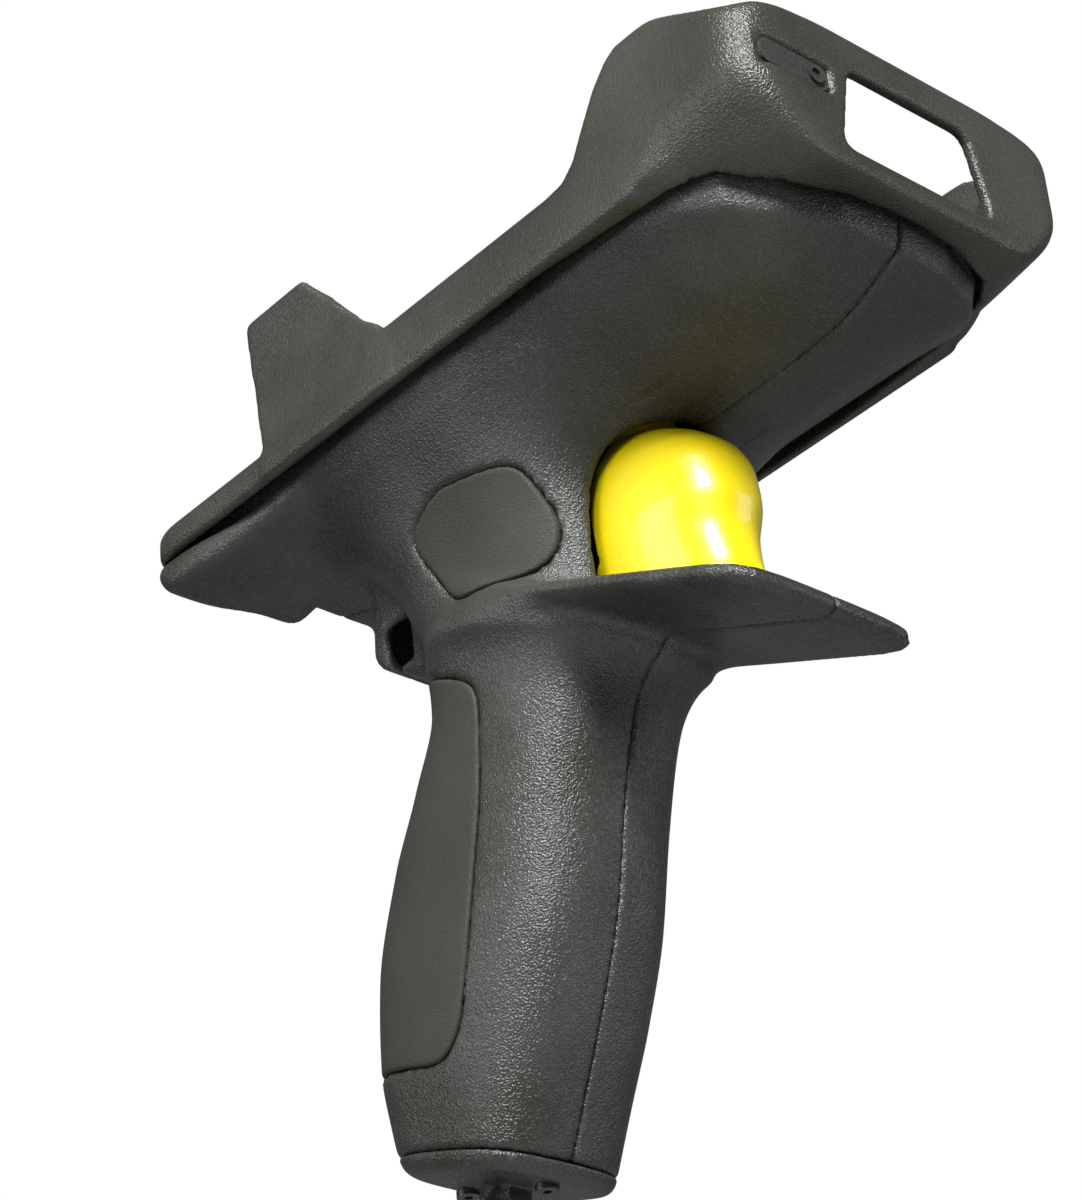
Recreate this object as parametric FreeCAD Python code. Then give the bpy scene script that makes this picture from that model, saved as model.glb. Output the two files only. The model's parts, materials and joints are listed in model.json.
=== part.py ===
"""Snap-on trigger handle for a rugged touch computer, as an assembly of separate parts.

Frame: millimetres, +Z out of the cradle's seat, -Y towards the scanning end, X across.
The origin is the centre of the seat face that the computer rests on.
"""
import FreeCAD, Part
import math
import os

from FreeCAD import Vector

# ---- driving dimensions of the cradle ------------------------------------------------
HALF_WIDTH = 42.0          # cradle, half of its outside width
FRONT_Y = -80.4            # outer face of the front wall
REAR_Y = 99.5              # rear corners of the tray
REAR_NOTCH_Y = 93.5        # rear edge between the corners, cut back for the cable socket
WALL = 2.4                 # moulded wall
SEAT_Z = 0.0               # raised seat land
FLOOR_TOP = -0.6
FLOOR_BOTTOM = -3.2
RIM_Z = -7.5               # lower edge of the side skirts
CHIN_Z = -11.5             # lower edge of the front wall
LOW_WALL_Z = 6.5
HEAD_TOP_Z = 27.6
HEAD_FRONT_Z = 21.5
HEAD_CORNER_RISE = 0.62    # how fast the head's rim climbs back from its front corners
EAR_TOP_Z = 30.5
EAR_CREASE_Z = 15.5
EAR_FLARE = 2.4
FRONT_CORNER = 7.0
REAR_CORNER = 8.0

# ---- scan window -----------------------------------------------------------------------
WINDOW_LOW_Z = -6.0
WINDOW_HIGH_Z = 12.8
WINDOW_LOW_HALF = 19.0
WINDOW_HIGH_HALF = 15.2
WINDOW_DEPTH = 8.0

# ---- housing, grip and guard -------------------------------------------------------------
HOUSING_HALF = 36.7
HOUSING_WALL = 2.2
HOUSING_TOP_WALL = 2.0
FOOT_WALL = 1.6            # web that closes the grip above its cap
GRIP_POWER = 3.2           # squareness of the grip's section
BUTT_TILT = 16.0           # degrees, foot of the grip
BUTT_FRONT = (31.5, -151.4)
CAP_THICKNESS = 3.4
EYE_RADIUS = 2.4
EYE_RING = 4.4             # outside radius of the lanyard eye
EYE_HALF = 3.0             # half of its width
EYE_DROP = 2.9             # its centre below the cap
EYE_BACK = 19.0            # its centre behind the grip's front
GUARD_TIP = (-46.5, -79.0)
GUARD_ROOT = (27.0, -48.0)
GUARD_THICKNESS = 4.4
GUARD_HALF = 24.0
SEAM_GAP = 0.25            # gap round an inlaid pad
PAD_DEPTH = 1.3

# ---- trigger mechanism ---------------------------------------------------------------------
PIVOT_Y = -20.0
PIVOT_Z = -16.0
PIN_RADIUS = 1.5
PIN_HALF = 15.6
TRIGGER_HALF = 12.0
SLOT_HALF = 12.6
HUB_RADIUS = 4.0
TRIGGER_TOP_Z = -13.4
PLUNGER_Y = -12.0
PLUNGER_RADIUS = 0.9
PLUNGER_LOW_Z = -13.1

# ---- contact block ------------------------------------------------------------------------
CONTACT_Y = 70.0
CONTACT_PITCH = 6.0
CONTACT_COUNT = 4
CONTACT_PIN_RADIUS = 1.0
CONTACT_STAND = 1.2        # how far a pin stands above the seat

# (y, half width, chamfer top z, chamfer foot z, keel z) along the housing
KEEL_STATIONS = [
    (-74.2, 12.0, -11.8, -14.6, -15.2),
    (-70.0, 24.0, -10.8, -15.4, -17.2),
    (-64.0, 31.4, -9.0, -13.4, -20.4),
    (-55.0, 35.6, -6.8, -10.6, -23.2),
    (-42.0, HOUSING_HALF, -5.9, -9.2, -24.2),
    (-10.0, HOUSING_HALF, -5.8, -9.0, -24.2),
    (30.0, HOUSING_HALF, -5.8, -9.0, -23.6),
    (52.0, HOUSING_HALF, -5.8, -8.6, -20.0),
    (74.0, HOUSING_HALF, -5.8, -8.4, -14.8),
    (90.0, 35.6, -5.6, -7.4, -10.4),
    (95.0, 31.5, -5.2, -6.6, -8.6),
]

# (z, front y, rear y, half width) down the neck and grip
GRIP_STATIONS = [
    (-12.0, -12.0, 62.0, 32.0),
    (-24.0, -7.0, 58.0, 27.0),
    (-36.0, -4.0, 53.0, 22.8),
    (-48.0, -2.5, 49.5, 20.6),
    (-60.0, -0.5, 49.5, 19.8),
    (-75.0, 5.5, 56.0, 19.7),
    (-89.0, 9.5, 63.2, 20.0),
    (-108.0, 13.6, 69.4, 20.0),
    (-125.0, 19.8, 70.4, 19.3),
    (-138.0, 25.6, 68.4, 18.0),
    (-150.0, 31.0, 64.8, 16.8),
    (-168.0, 39.0, 60.0, 15.0),
]

# (z, front y, rear y, half width) down the trigger
TRIGGER_STATIONS = [
    (TRIGGER_TOP_Z, -17.0, 4.0, 8.0),
    (-21.0, -20.4, 7.5, 10.4),
    (-28.0, -24.0, 8.0, TRIGGER_HALF),
    (-36.0, -28.0, 8.0, TRIGGER_HALF),
    (-43.0, -29.0, 8.0, TRIGGER_HALF),
    (-50.0, -27.8, 7.5, TRIGGER_HALF),
    (-57.0, -28.6, 7.0, 11.4),
    (-63.0, -31.5, 6.0, 10.6),
    (-67.0, -34.5, 4.0, 10.0),
]

CLAMSHELL_POINTS = [(52.0, -26.0), (20.0, -66.0), (21.5, -98.0), (50.0, -139.0)]
SEAT_PAD_ROWS = [(-68.0, -60.0), (80.0, 88.0)]
CRADLE_SCREW_X = 31.9
CRADLE_SCREW_Y = [-44.0, 8.0, 62.0]


# ---- small builders ----------------------------------------------------------------------------
def box(x0, x1, y0, y1, z0, z1):
    """Box between two corners."""
    return Part.makeBox(x1 - x0, y1 - y0, z1 - z0, Vector(x0, y0, z0))


def rod_x(radius, x0, x1, y, z):
    """Cylinder along X."""
    return Part.makeCylinder(radius, x1 - x0, Vector(x0, y, z), Vector(1, 0, 0))


def rod_y(radius, y0, y1, x, z):
    """Cylinder along Y."""
    return Part.makeCylinder(radius, y1 - y0, Vector(x, y0, z), Vector(0, 1, 0))


def rod_z(radius, z0, z1, x, y):
    """Cylinder along Z."""
    return Part.makeCylinder(radius, z1 - z0, Vector(x, y, z0), Vector(0, 0, 1))


def prism_x(outline, x0, x1):
    """Solid from an outline of (y, z) points, pushed along X."""
    points = [Vector(x0, y, z) for y, z in outline]
    face = Part.Face(Part.makePolygon(points + points[:1]))
    return face.extrude(Vector(x1 - x0, 0, 0))


def prism_y(outline, y0, y1):
    """Solid from an outline of (x, z) points, pushed along Y."""
    points = [Vector(x, y0, z) for x, z in outline]
    face = Part.Face(Part.makePolygon(points + points[:1]))
    return face.extrude(Vector(0, y1 - y0, 0))


def prism_z(outline, z0, z1):
    """Solid from an outline of (x, y) points, pushed along Z."""
    points = [Vector(x, y, z0) for x, y in outline]
    face = Part.Face(Part.makePolygon(points + points[:1]))
    return face.extrude(Vector(0, 0, z1 - z0))


def round_edges(shape, radius, direction):
    """Fillet every straight edge that runs along a direction."""
    edges = []
    for edge in shape.Edges:
        along = edge.tangentAt(edge.FirstParameter)
        if abs(abs(along.dot(direction)) - 1.0) < 1e-6:
            edges.append(edge)
    return shape.makeFillet(radius, edges)


def mirrored(shape):
    """The same shape on the other side of the middle plane."""
    return shape.mirror(Vector(0, 0, 0), Vector(1, 0, 0))


def one_solid(shape):
    """The largest solid of a boolean's result."""
    return sorted(shape.Solids, key=lambda solid: solid.Volume)[-1]


def save(name, shape):
    """Write one node."""
    shape.exportStep("parts/" + name + ".step")
    print(name, len(shape.Solids), round(shape.Volume, 1), shape.isValid())


# ---- cradle ----------------------------------------------------------------------------------------
def upright_edges(block, y):
    """Upright edges of a block on one of its end faces."""
    edges = []
    for edge in block.Edges:
        rise = abs(edge.Vertexes[0].Z - edge.Vertexes[-1].Z)
        if rise > 1.0 and abs(edge.CenterOfMass.y - y) < 1e-6:
            edges.append(edge)
    return edges


def plan_block(inset, z0, z1):
    """Rounded rectangle of the tray, set in from its outside."""
    half = HALF_WIDTH - inset
    block = box(-half, half, FRONT_Y + inset, REAR_Y - inset, z0, z1)
    block = block.makeFillet(FRONT_CORNER - inset, upright_edges(block, FRONT_Y + inset))
    return block.makeFillet(REAR_CORNER - inset, upright_edges(block, REAR_Y - inset))


def cradle_side_outline():
    """Side view of the tray and its head, without the ears."""
    return [
        (REAR_Y + 1, RIM_Z), (-54.0, RIM_Z), (-75.0, CHIN_Z), (FRONT_Y + 1.6, CHIN_Z),
        (FRONT_Y - 1, CHIN_Z + 2.2), (FRONT_Y - 1, HEAD_FRONT_Z - 1.0), (FRONT_Y + 1.4, HEAD_FRONT_Z),
        (-70.0, HEAD_FRONT_Z + 0.4), (-60.0, 26.4), (-54.0, HEAD_TOP_Z), (-48.5, HEAD_TOP_Z),
        (-44.0, 24.6), (-38.5, 17.6), (-35.5, 12.0), (-32.0, 7.6), (-28.0, LOW_WALL_Z),
        (27.0, LOW_WALL_Z), (29.0, FLOOR_TOP),
        (REAR_Y + 1, FLOOR_TOP),
    ]


def ear():
    """Left snap ear: upright to the crease, then leaning out, with a catch inside."""
    inner = HALF_WIDTH - WALL
    section = [
        (-HALF_WIDTH, RIM_Z), (-HALF_WIDTH, EAR_CREASE_Z), (-HALF_WIDTH - EAR_FLARE, EAR_TOP_Z),
        (-inner - EAR_FLARE, EAR_TOP_Z), (-inner - 1.4, EAR_TOP_Z - 4.0),
        (-inner + 1.2, EAR_TOP_Z - 6.0),
        (-inner, EAR_TOP_Z - 8.5), (-inner, RIM_Z),
    ]
    outline = [(20.0, LOW_WALL_Z - 6.0), (22.0, LOW_WALL_Z), (43.5, EAR_TOP_Z - 0.4),
               (61.5, EAR_TOP_Z + 1.0),
               (62.4, EAR_CREASE_Z + 3.0), (60.0, FLOOR_TOP), (60.0, RIM_Z), (20.0, RIM_Z)]
    return prism_y(section, 18.0, 64.0).common(prism_x(outline, -50.0, -30.0))


def nose_outline(gap):
    """Plan of the housing's edge under the tray, widened by a gap."""
    edge = [(HOUSING_HALF, 103.0), (HOUSING_HALF, -42.0), (35.6, -55.0), (31.4, -64.0), (24.0, -70.0),
            (12.0, -74.2)]
    return [(x + gap, y) if y > -50 else (x + gap * 0.7, y - gap) for x, y in edge]


def cradle_shell():
    """Tray with head, scan window, side skirts and snap ears."""
    outer = plan_block(0.0, -15.0, 35.0).common(prism_x(cradle_side_outline(), -50.0, 50.0))
    pocket = plan_block(WALL, FLOOR_TOP, 40.0)
    lip = box(-30.0, 30.0, FRONT_Y, FRONT_Y + WALL + 3.0, HEAD_FRONT_Z - 2.2, HEAD_FRONT_Z + 4.0)
    inner = HALF_WIDTH - WALL
    pocket = pocket.fuse(box(-inner, inner, 70.0, REAR_Y + 2, FLOOR_TOP, 40.0)).cut(lip)
    shell = outer.cut(pocket)
    shell = shell.fuse([ear(), mirrored(ear())])
    right = nose_outline(0.5)
    left = [(-x, y) for x, y in reversed(right)]
    under = prism_z(right + left, -20.0, FLOOR_BOTTOM)
    sides = box(-inner, inner, -46.0, REAR_Y - WALL, -20.0, FLOOR_BOTTOM)
    under = under.common(box(-50, 50, -90, REAR_Y - WALL, -30, 10)).fuse(sides)
    shell = shell.cut(under.fuse(box(-30.0, 30.0, 80.0, REAR_Y + 2, -20.0, FLOOR_BOTTOM)))
    notch = prism_z([(-22.0, REAR_NOTCH_Y), (22.0, REAR_NOTCH_Y), (30.0, REAR_Y + 1), (-30.0, REAR_Y + 1)],
                    -20.0, 10.0)
    shell = shell.cut(round_edges(notch, 3.0, Vector(0, 0, 1)))
    window = prism_y([(-WINDOW_LOW_HALF, WINDOW_LOW_Z), (WINDOW_LOW_HALF, WINDOW_LOW_Z),
                      (WINDOW_HIGH_HALF, WINDOW_HIGH_Z), (-WINDOW_HIGH_HALF, WINDOW_HIGH_Z)],
                     FRONT_Y - 1, FRONT_Y + WINDOW_DEPTH)
    shell = shell.cut(round_edges(window, 2.2, Vector(0, 1, 0)))
    rim = [(17.0, HEAD_TOP_Z + 9), (17.0, HEAD_FRONT_Z), (29.0, HEAD_FRONT_Z - 1.4),
           (36.0, HEAD_FRONT_Z - 3.4), (40.6, HEAD_FRONT_Z - 6.8), (HALF_WIDTH + 3, HEAD_FRONT_Z - 11.0),
           (HALF_WIDTH + 5, HEAD_TOP_Z + 9)]
    rim_wire = Part.makePolygon([Vector(x, FRONT_Y - 1, z) for x, z in rim + rim[:1]])
    corner = Part.Face(rim_wire).extrude(Vector(0, 22.0, 22.0 * HEAD_CORNER_RISE))
    chin = prism_y([(25.0, CHIN_Z), (31.0, CHIN_Z + 0.8), (38.5, RIM_Z), (HALF_WIDTH + 1, RIM_Z + 2.5),
                    (HALF_WIDTH + 1, CHIN_Z - 3), (25.0, CHIN_Z - 3)], FRONT_Y - 2, -50.0)
    shell = shell.cut([corner, mirrored(corner), chin, mirrored(chin)])
    land = round_edges(box(-26.0, 26.0, -50.0, 44.0, FLOOR_TOP - 0.5, SEAT_Z), 4.0, Vector(0, 0, 1))
    shell = shell.fuse(land)
    cuts = []
    for x, y in cradle_screw_places():
        cuts.append(rod_z(1.35, FLOOR_BOTTOM - 1, SEAT_Z, x, y))
        cuts.append(Part.makeCone(1.35, 2.5, 1.5, Vector(x, y, FLOOR_TOP - 1.5), Vector(0, 0, 1)))
    for x in contact_places():
        cuts.append(rod_z(CONTACT_PIN_RADIUS + 0.25, FLOOR_BOTTOM - 1, SEAT_Z, x, CONTACT_Y))
    for x in (-13.0, 13.0):
        cuts.append(rod_z(0.9, FLOOR_BOTTOM - 1, FLOOR_TOP - 0.8, x, CONTACT_Y))
    cuts.append(port_recess(0.0))
    for y0, y1 in SEAT_PAD_ROWS:
        cuts.append(box(-24.0, 24.0, y0, y1, FLOOR_TOP - 0.5, SEAT_Z))
    return one_solid(shell.cut(cuts).removeSplitter())


def port_recess(gap):
    """Shallow slot beside the scan window."""
    slot = box(-37.4 + gap, -20.6 - gap, FRONT_Y - 1.0, FRONT_Y + 1.5, 4.6 + gap, 10.4 - gap)
    return round_edges(slot, 2.0, Vector(0, 1, 0))


def port_plug():
    """Rubber plug in the slot, with a raised ring at one end."""
    plug = port_recess(0.2).common(box(-50, 0, FRONT_Y + 0.7, FRONT_Y + 1.5, 0, 20))
    ring = rod_y(1.9, FRONT_Y + 0.2, FRONT_Y + 0.8, -24.0, 7.5)
    ring = ring.cut(rod_y(1.1, FRONT_Y - 1, FRONT_Y + 0.8, -24.0, 7.5))
    return plug.fuse(ring).removeSplitter()


def cradle_screw_places():
    """Centres of the screws that hold the tray on the housing."""
    return [(side * CRADLE_SCREW_X, y) for side in (-1, 1) for y in CRADLE_SCREW_Y]


def contact_places():
    """X of each spring contact."""
    return [(i - (CONTACT_COUNT - 1) / 2.0) * CONTACT_PITCH for i in range(CONTACT_COUNT)]


# ---- housing halves -----------------------------------------------------------------------------
def keel_wire(station, wall, ceiling):
    """Half section of the housing, from the middle plane to its edge."""
    y, half, top, foot, keel = station
    half = half - wall
    low = keel + wall
    shoulder = foot + wall * 0.8
    upper = min(top, FLOOR_BOTTOM - ceiling - 0.6)
    a = Vector(0, y, FLOOR_BOTTOM - ceiling)
    b = Vector(half, y, FLOOR_BOTTOM - ceiling)
    c = Vector(half, y, upper)
    d = Vector(half - 2.4, y, min(shoulder, upper - 0.5))
    e = Vector(half * 0.52, y, d.z + (low - d.z) * 0.72)
    f = Vector(0, y, low)
    curve = Part.Arc(d, e, f).toShape()
    ends = [(a, b), (b, c), (c, d)]
    edges = [Part.LineSegment(first, second).toShape() for first, second in ends]
    return Part.Wire(edges + [curve, Part.LineSegment(f, a).toShape()])


def keel_half(wall, ceiling):
    """Right half of the housing as a loft of its half sections."""
    stations = KEEL_STATIONS
    if wall > 0:
        first = (-71.5,) + KEEL_STATIONS[0][1:]
        last = (92.6,) + KEEL_STATIONS[-1][1:]
        stations = [first] + KEEL_STATIONS[1:-1] + [last]
    return Part.makeLoft([keel_wire(s, wall, ceiling) for s in stations], True, True)


def superellipse(half, front, rear, z, count):
    """Points of half a superellipse, from its front round the right side to its rear."""
    points = []
    middle = (front + rear) / 2.0
    depth = (rear - front) / 2.0
    for i in range(count + 1):
        angle = math.pi * i / count
        sine = max(math.sin(angle), 0.0)
        cosine = math.cos(angle)
        x = half * sine ** (2.0 / GRIP_POWER)
        y = middle - depth * math.copysign(abs(cosine) ** (2.0 / GRIP_POWER), cosine)
        points.append(Vector(x, y, z))
    return points


def half_section(half, front, rear, z):
    """Closed half section: a curve and the flat on the middle plane."""
    points = superellipse(half, front, rear, z, 16)
    curve = Part.BSplineCurve()
    curve.interpolate(points)
    flat = Part.LineSegment(points[-1], points[0])
    return Part.Wire([curve.toShape(), flat.toShape()])


def grip_half(wall):
    """Right half of the neck and grip."""
    wires = []
    for z, front, rear, half in GRIP_STATIONS:
        wires.append(half_section(half - wall, front + wall, rear - wall, z))
    return Part.makeLoft(wires, True, True)


def butt_space(drop):
    """Everything below the foot plane, lowered by a drop."""
    y, z = BUTT_FRONT
    block = box(-40, 40, -80, 120, -80 - drop, -drop)
    block.rotate(Vector(0, 0, 0), Vector(1, 0, 0), BUTT_TILT)
    block.translate(Vector(0, y, z))
    return block


def guard_half():
    """Right half of the finger guard: a plate square to the grip, with a rounded front."""
    run = math.hypot(GUARD_ROOT[0] - GUARD_TIP[0], GUARD_ROOT[1] - GUARD_TIP[1])
    tilt = math.degrees(math.atan2(GUARD_ROOT[1] - GUARD_TIP[1], GUARD_ROOT[0] - GUARD_TIP[0]))
    outline = [(0, 0), (15.0, 0), (20.0, 1.6), (23.2, 5.5), (GUARD_HALF, 11.0), (GUARD_HALF, 40.0),
               (22.0, 56.0), (18.0, run), (0, run)]
    plate = prism_z(outline, 0.0, GUARD_THICKNESS)
    plate.rotate(Vector(0, 0, 0), Vector(1, 0, 0), tilt)
    plate.translate(Vector(0, GUARD_TIP[0], GUARD_TIP[1]))
    return plate


def guard_top_z(y):
    """Height of the guard's upper face."""
    slope = (GUARD_ROOT[1] - GUARD_TIP[1]) / (GUARD_ROOT[0] - GUARD_TIP[0])
    return GUARD_TIP[1] + GUARD_THICKNESS * math.hypot(1.0, slope) + slope * (y - GUARD_TIP[0])


def tether_block_half():
    """Right half of the block behind the neck."""
    outline = [(44.0, -20.0), (69.5, -14.0), (70.0, -34.5), (58.0, -42.0), (46.0, -45.0)]
    return prism_x(outline, 0.0, 9.0)


def handle_outer_half():
    """Right half of the handle before it is hollowed."""
    body = keel_half(0.0, 0.0).fuse([grip_half(0.0), guard_half(), tether_block_half()])
    return one_solid(body.removeSplitter())


def flush_patch(outer, outline, shift):
    """A patch of the handle's skin inside an outline of (y, z) points."""
    inner = outer.copy()
    inner.translate(shift)
    return prism_x(outline, 0.2, 60.0).common(outer).cut(inner)


def grip_pad_outline(gap):
    """Side view of the rubber panel on the grip, drawn in by a gap."""
    return [(26.2 + gap, -67.0), (27.6 + gap, -86.0), (34.0 + gap, -115.0), (38.4 + gap, -128.0),
            (44.0 + gap, -132.6 + gap), (80.0, -122.4 + gap), (80.0, -37.0 - gap), (41.0, -54.0 - gap),
            (31.0 + gap, -59.4 - gap), (27.4 + gap, -62.6 - gap)]


def side_pad_outline(gap):
    """Side view of the flush pad on the neck, drawn in by a gap."""
    return [(30.0 - gap, -43.4 + gap), (36.4 - gap, -31.0), (36.0 - gap, -27.0 - gap), (26.0, -23.0 - gap),
            (9.0, -25.4 - gap), (5.4 + gap, -27.6), (2.0 + gap, -39.5), (4.4 + gap, -46.0 + gap),
            (9.0, -48.0 + gap), (26.0, -45.6 + gap)]


def handle_half(side):
    """One half of the clamshell; side is +1 for the right half and -1 for the left."""
    outer = handle_outer_half()
    full = outer.cut(butt_space(0.0))
    cavity = keel_half(HOUSING_WALL, HOUSING_TOP_WALL)
    grip_room = grip_half(HOUSING_WALL).cut(butt_space(-FOOT_WALL))
    body = full.cut([cavity, grip_room])
    bosses = []
    for y, z in CLAMSHELL_POINTS:
        bosses.append(rod_x(3.4, 0.0, 40.0, y, z))
    for x, y in cradle_screw_places():
        if x > 0:
            bosses.append(rod_z(3.1, -20.0, FLOOR_BOTTOM, x, y))
    bosses.append(rod_x(5.0, SLOT_HALF + 0.2, PIN_HALF + 2.0, PIVOT_Y, PIVOT_Z))
    body = body.fuse([boss.common(full) for boss in bosses])
    slot = [(-22.8, guard_top_z(-22.8)), (16.0, guard_top_z(16.0)), (16.0, -10.6), (-22.8, -10.6)]
    cuts = [prism_x(slot, -1.0, SLOT_HALF)]
    cuts.append(box(-1.0, SLOT_HALF, -25.2, -15.0, -21.4, -10.6))
    cuts.append(box(-1.0, 18.0, CONTACT_Y - 6.4, CONTACT_Y + 6.4, FLOOR_BOTTOM - 4.0, FLOOR_BOTTOM + 1))
    cuts.append(box(-1.0, 10.0, 57.0, 64.5, -38.4, -28.0))
    cuts.append(rod_x(3.2, SLOT_HALF, PIN_HALF + 0.2, PIVOT_Y, PIVOT_Z))
    for x, y in cradle_screw_places():
        if x > 0:
            cuts.append(rod_z(1.9, FLOOR_BOTTOM - 3.8, FLOOR_BOTTOM + 1, x, y))
    for y, z in CLAMSHELL_POINTS:
        if side > 0:
            cuts.append(rod_x(1.3, -1.0, 30.0, y, z))
            cuts.append(rod_x(2.6, screw_head_x(outer, y, z), 60.0, y, z))
        else:
            cuts.append(rod_x(1.9, -1.0, 5.2, y, z))
    for outline, shift in pad_jobs():
        cuts.append(flush_patch(outer, outline(0.0), shift))
    body = one_solid(body.cut(cuts))
    if side < 0:
        body = mirrored(body)
    return body


def pad_jobs():
    """Each inlaid pad's outline and the way its pocket goes in."""
    return [(grip_pad_outline, Vector(-PAD_DEPTH, -PAD_DEPTH, 0)),
            (side_pad_outline, Vector(-PAD_DEPTH, 0, PAD_DEPTH))]


def inlaid_pad(side, job):
    """Rubber pad, flush with the handle's skin."""
    outer = handle_outer_half()
    outline, shift = pad_jobs()[job]
    pad = flush_patch(outer, outline(SEAM_GAP), shift)
    pad = one_solid(pad.cut(butt_space(0.0)))
    if side < 0:
        pad = mirrored(pad)
    return pad


def screw_head_x(outer, y, z):
    """X of the seat of a clamshell screw's head, a little under the skin."""
    reach = []
    for step_y, step_z in ((2.4, 0), (-2.4, 0), (0, 2.4), (0, -2.4)):
        ray = Part.makeLine(Vector(0.1, y + step_y, z + step_z), Vector(60.0, y + step_y, z + step_z))
        reach.append(max(vertex.X for vertex in ray.common(outer).Vertexes))
    return min(reach) - 2.0


def clamshell_screws():
    """Screws that draw the two halves together, in from the right."""
    outer = handle_outer_half()
    parts = []
    for y, z in CLAMSHELL_POINTS:
        seat = screw_head_x(outer, y, z)
        screw = rod_x(1.2, -4.6, seat + 0.2, y, z).fuse(rod_x(2.3, seat, seat + 1.6, y, z))
        drive = rod_x(0.8, seat + 0.8, seat + 2.0, y, z)
        parts.append(one_solid(screw.cut(drive)))
    return Part.makeCompound(parts)


def clamshell_inserts():
    """Brass inserts in the left half."""
    return Part.makeCompound([rod_x(1.88, -5.0, -0.2, y, z).cut(rod_x(1.2, -6.0, 1.0, y, z))
                              for y, z in CLAMSHELL_POINTS])


# ---- fasteners of the cradle -----------------------------------------------------------------
def cradle_screws():
    """Countersunk screws through the floor."""
    parts = []
    for x, y in cradle_screw_places():
        head = Part.makeCone(1.2, 2.35, 1.4, Vector(x, y, FLOOR_TOP - 1.45), Vector(0, 0, 1))
        shank = rod_z(1.2, FLOOR_BOTTOM - 3.4, FLOOR_TOP - 1.4, x, y)
        drive = rod_z(0.9, FLOOR_TOP - 0.9, FLOOR_TOP + 1.0, x, y)
        parts.append(one_solid(head.fuse(shank).cut(drive)))
    return Part.makeCompound(parts)


def cradle_inserts():
    """Brass inserts in the housing's bosses."""
    parts = []
    for x, y in cradle_screw_places():
        sleeve = rod_z(1.88, FLOOR_BOTTOM - 3.6, FLOOR_BOTTOM - 0.1, x, y)
        parts.append(sleeve.cut(rod_z(1.2, FLOOR_BOTTOM - 5, FLOOR_BOTTOM + 1, x, y)))
    return Part.makeCompound(parts)


def seat_pad(y0, y1):
    """Rubber strip that the computer rests on."""
    strip = box(-23.8, 23.8, y0 + 0.2, y1 - 0.2, FLOOR_TOP - 0.5, SEAT_Z - 0.1)
    return round_edges(strip, 1.5, Vector(0, 0, 1))


def ear_pad(side):
    """Rubber pad inside an ear."""
    inner = HALF_WIDTH - WALL
    pad = round_edges(box(-inner, -inner + 0.8, 40.0, 56.0, 5.0, 15.0), 2.0, Vector(1, 0, 0))
    if side > 0:
        pad = mirrored(pad)
    return pad


# ---- foot of the grip ----------------------------------------------------------------------------
def foot_z(y):
    """Height of the foot plane."""
    return BUTT_FRONT[1] + (y - BUTT_FRONT[0]) * math.tan(math.radians(BUTT_TILT))


def butt_cap():
    """Cap on the foot of the grip, with a lanyard eye."""
    full = grip_half(0.0).fuse(mirrored(grip_half(0.0)))
    cap = full.common(butt_space(0.15)).cut(butt_space(CAP_THICKNESS))
    eye_y, eye_z = butt_eye_place()
    eye = rod_x(EYE_RING, -EYE_HALF, EYE_HALF, eye_y, eye_z)
    root = box(-EYE_HALF, EYE_HALF, eye_y - EYE_RING, eye_y + EYE_RING, eye_z, eye_z + 6.0)
    body = cap.fuse(eye.fuse(root).common(butt_space(0.15))).removeSplitter()
    body = body.cut(rod_x(EYE_RADIUS, -10.0, 10.0, eye_y, eye_z))
    for y in butt_screw_ys():
        body = body.cut(rod_z(1.35, -180.0, -130.0, 0.0, y))
    return one_solid(body)


def butt_eye_place():
    """Centre of the lanyard eye."""
    y = BUTT_FRONT[0] + EYE_BACK
    return y, foot_z(y) - (CAP_THICKNESS + EYE_DROP) / math.cos(math.radians(BUTT_TILT))


def butt_screw_ys():
    """Y of the screws in the foot."""
    return [BUTT_FRONT[0] + 7.5, BUTT_FRONT[0] + 29.0]


def butt_screws():
    """Screws up through the cap."""
    parts = []
    for y in butt_screw_ys():
        low = foot_z(y) - CAP_THICKNESS - 0.4
        screw = rod_z(1.2, low, foot_z(y) + 1.0, 0.0, y).fuse(rod_z(2.2, low - 1.3, low, 0.0, y))
        parts.append(one_solid(screw.cut(rod_z(0.8, low - 2.0, low - 0.5, 0.0, y))))
    return Part.makeCompound(parts)


# ---- trigger and switch ----------------------------------------------------------------------------
def trigger():
    """Trigger lobe with its hub, cut parallel to the guard below it."""
    wires = []
    for z, front, rear, half in TRIGGER_STATIONS:
        right = superellipse(half, front, rear, z, 14)
        left = [Vector(-p.x, p.y, p.z) for p in reversed(right[1:-1])]
        curve = Part.BSplineCurve()
        curve.interpolate(right + left, PeriodicFlag=True)
        wires.append(Part.Wire([curve.toShape()]))
    lobe = Part.makeLoft(wires, True, True)
    below = prism_x([(-50.0, -68.8), (20.0, -46.4), (20.0, -90.0), (-50.0, -90.0)], -20.0, 20.0)
    above = prism_x([(-10.6, TRIGGER_TOP_Z), (20.0, -24.0), (20.0, 0.0), (-10.6, 0.0)], -20.0, 20.0)
    lobe = lobe.cut([below, above]).fuse(rod_x(HUB_RADIUS, -9.0, 9.0, PIVOT_Y, PIVOT_Z))
    lobe = lobe.cut(box(-3.5, 3.5, -26.0, -15.4, -20.6, -10.0))
    lobe = lobe.cut(box(-9.0, 9.0, -2.0, 20.0, -46.0, -19.0))
    return one_solid(lobe.cut(rod_x(PIN_RADIUS + 0.05, -20.0, 20.0, PIVOT_Y, PIVOT_Z)).removeSplitter())


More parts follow.
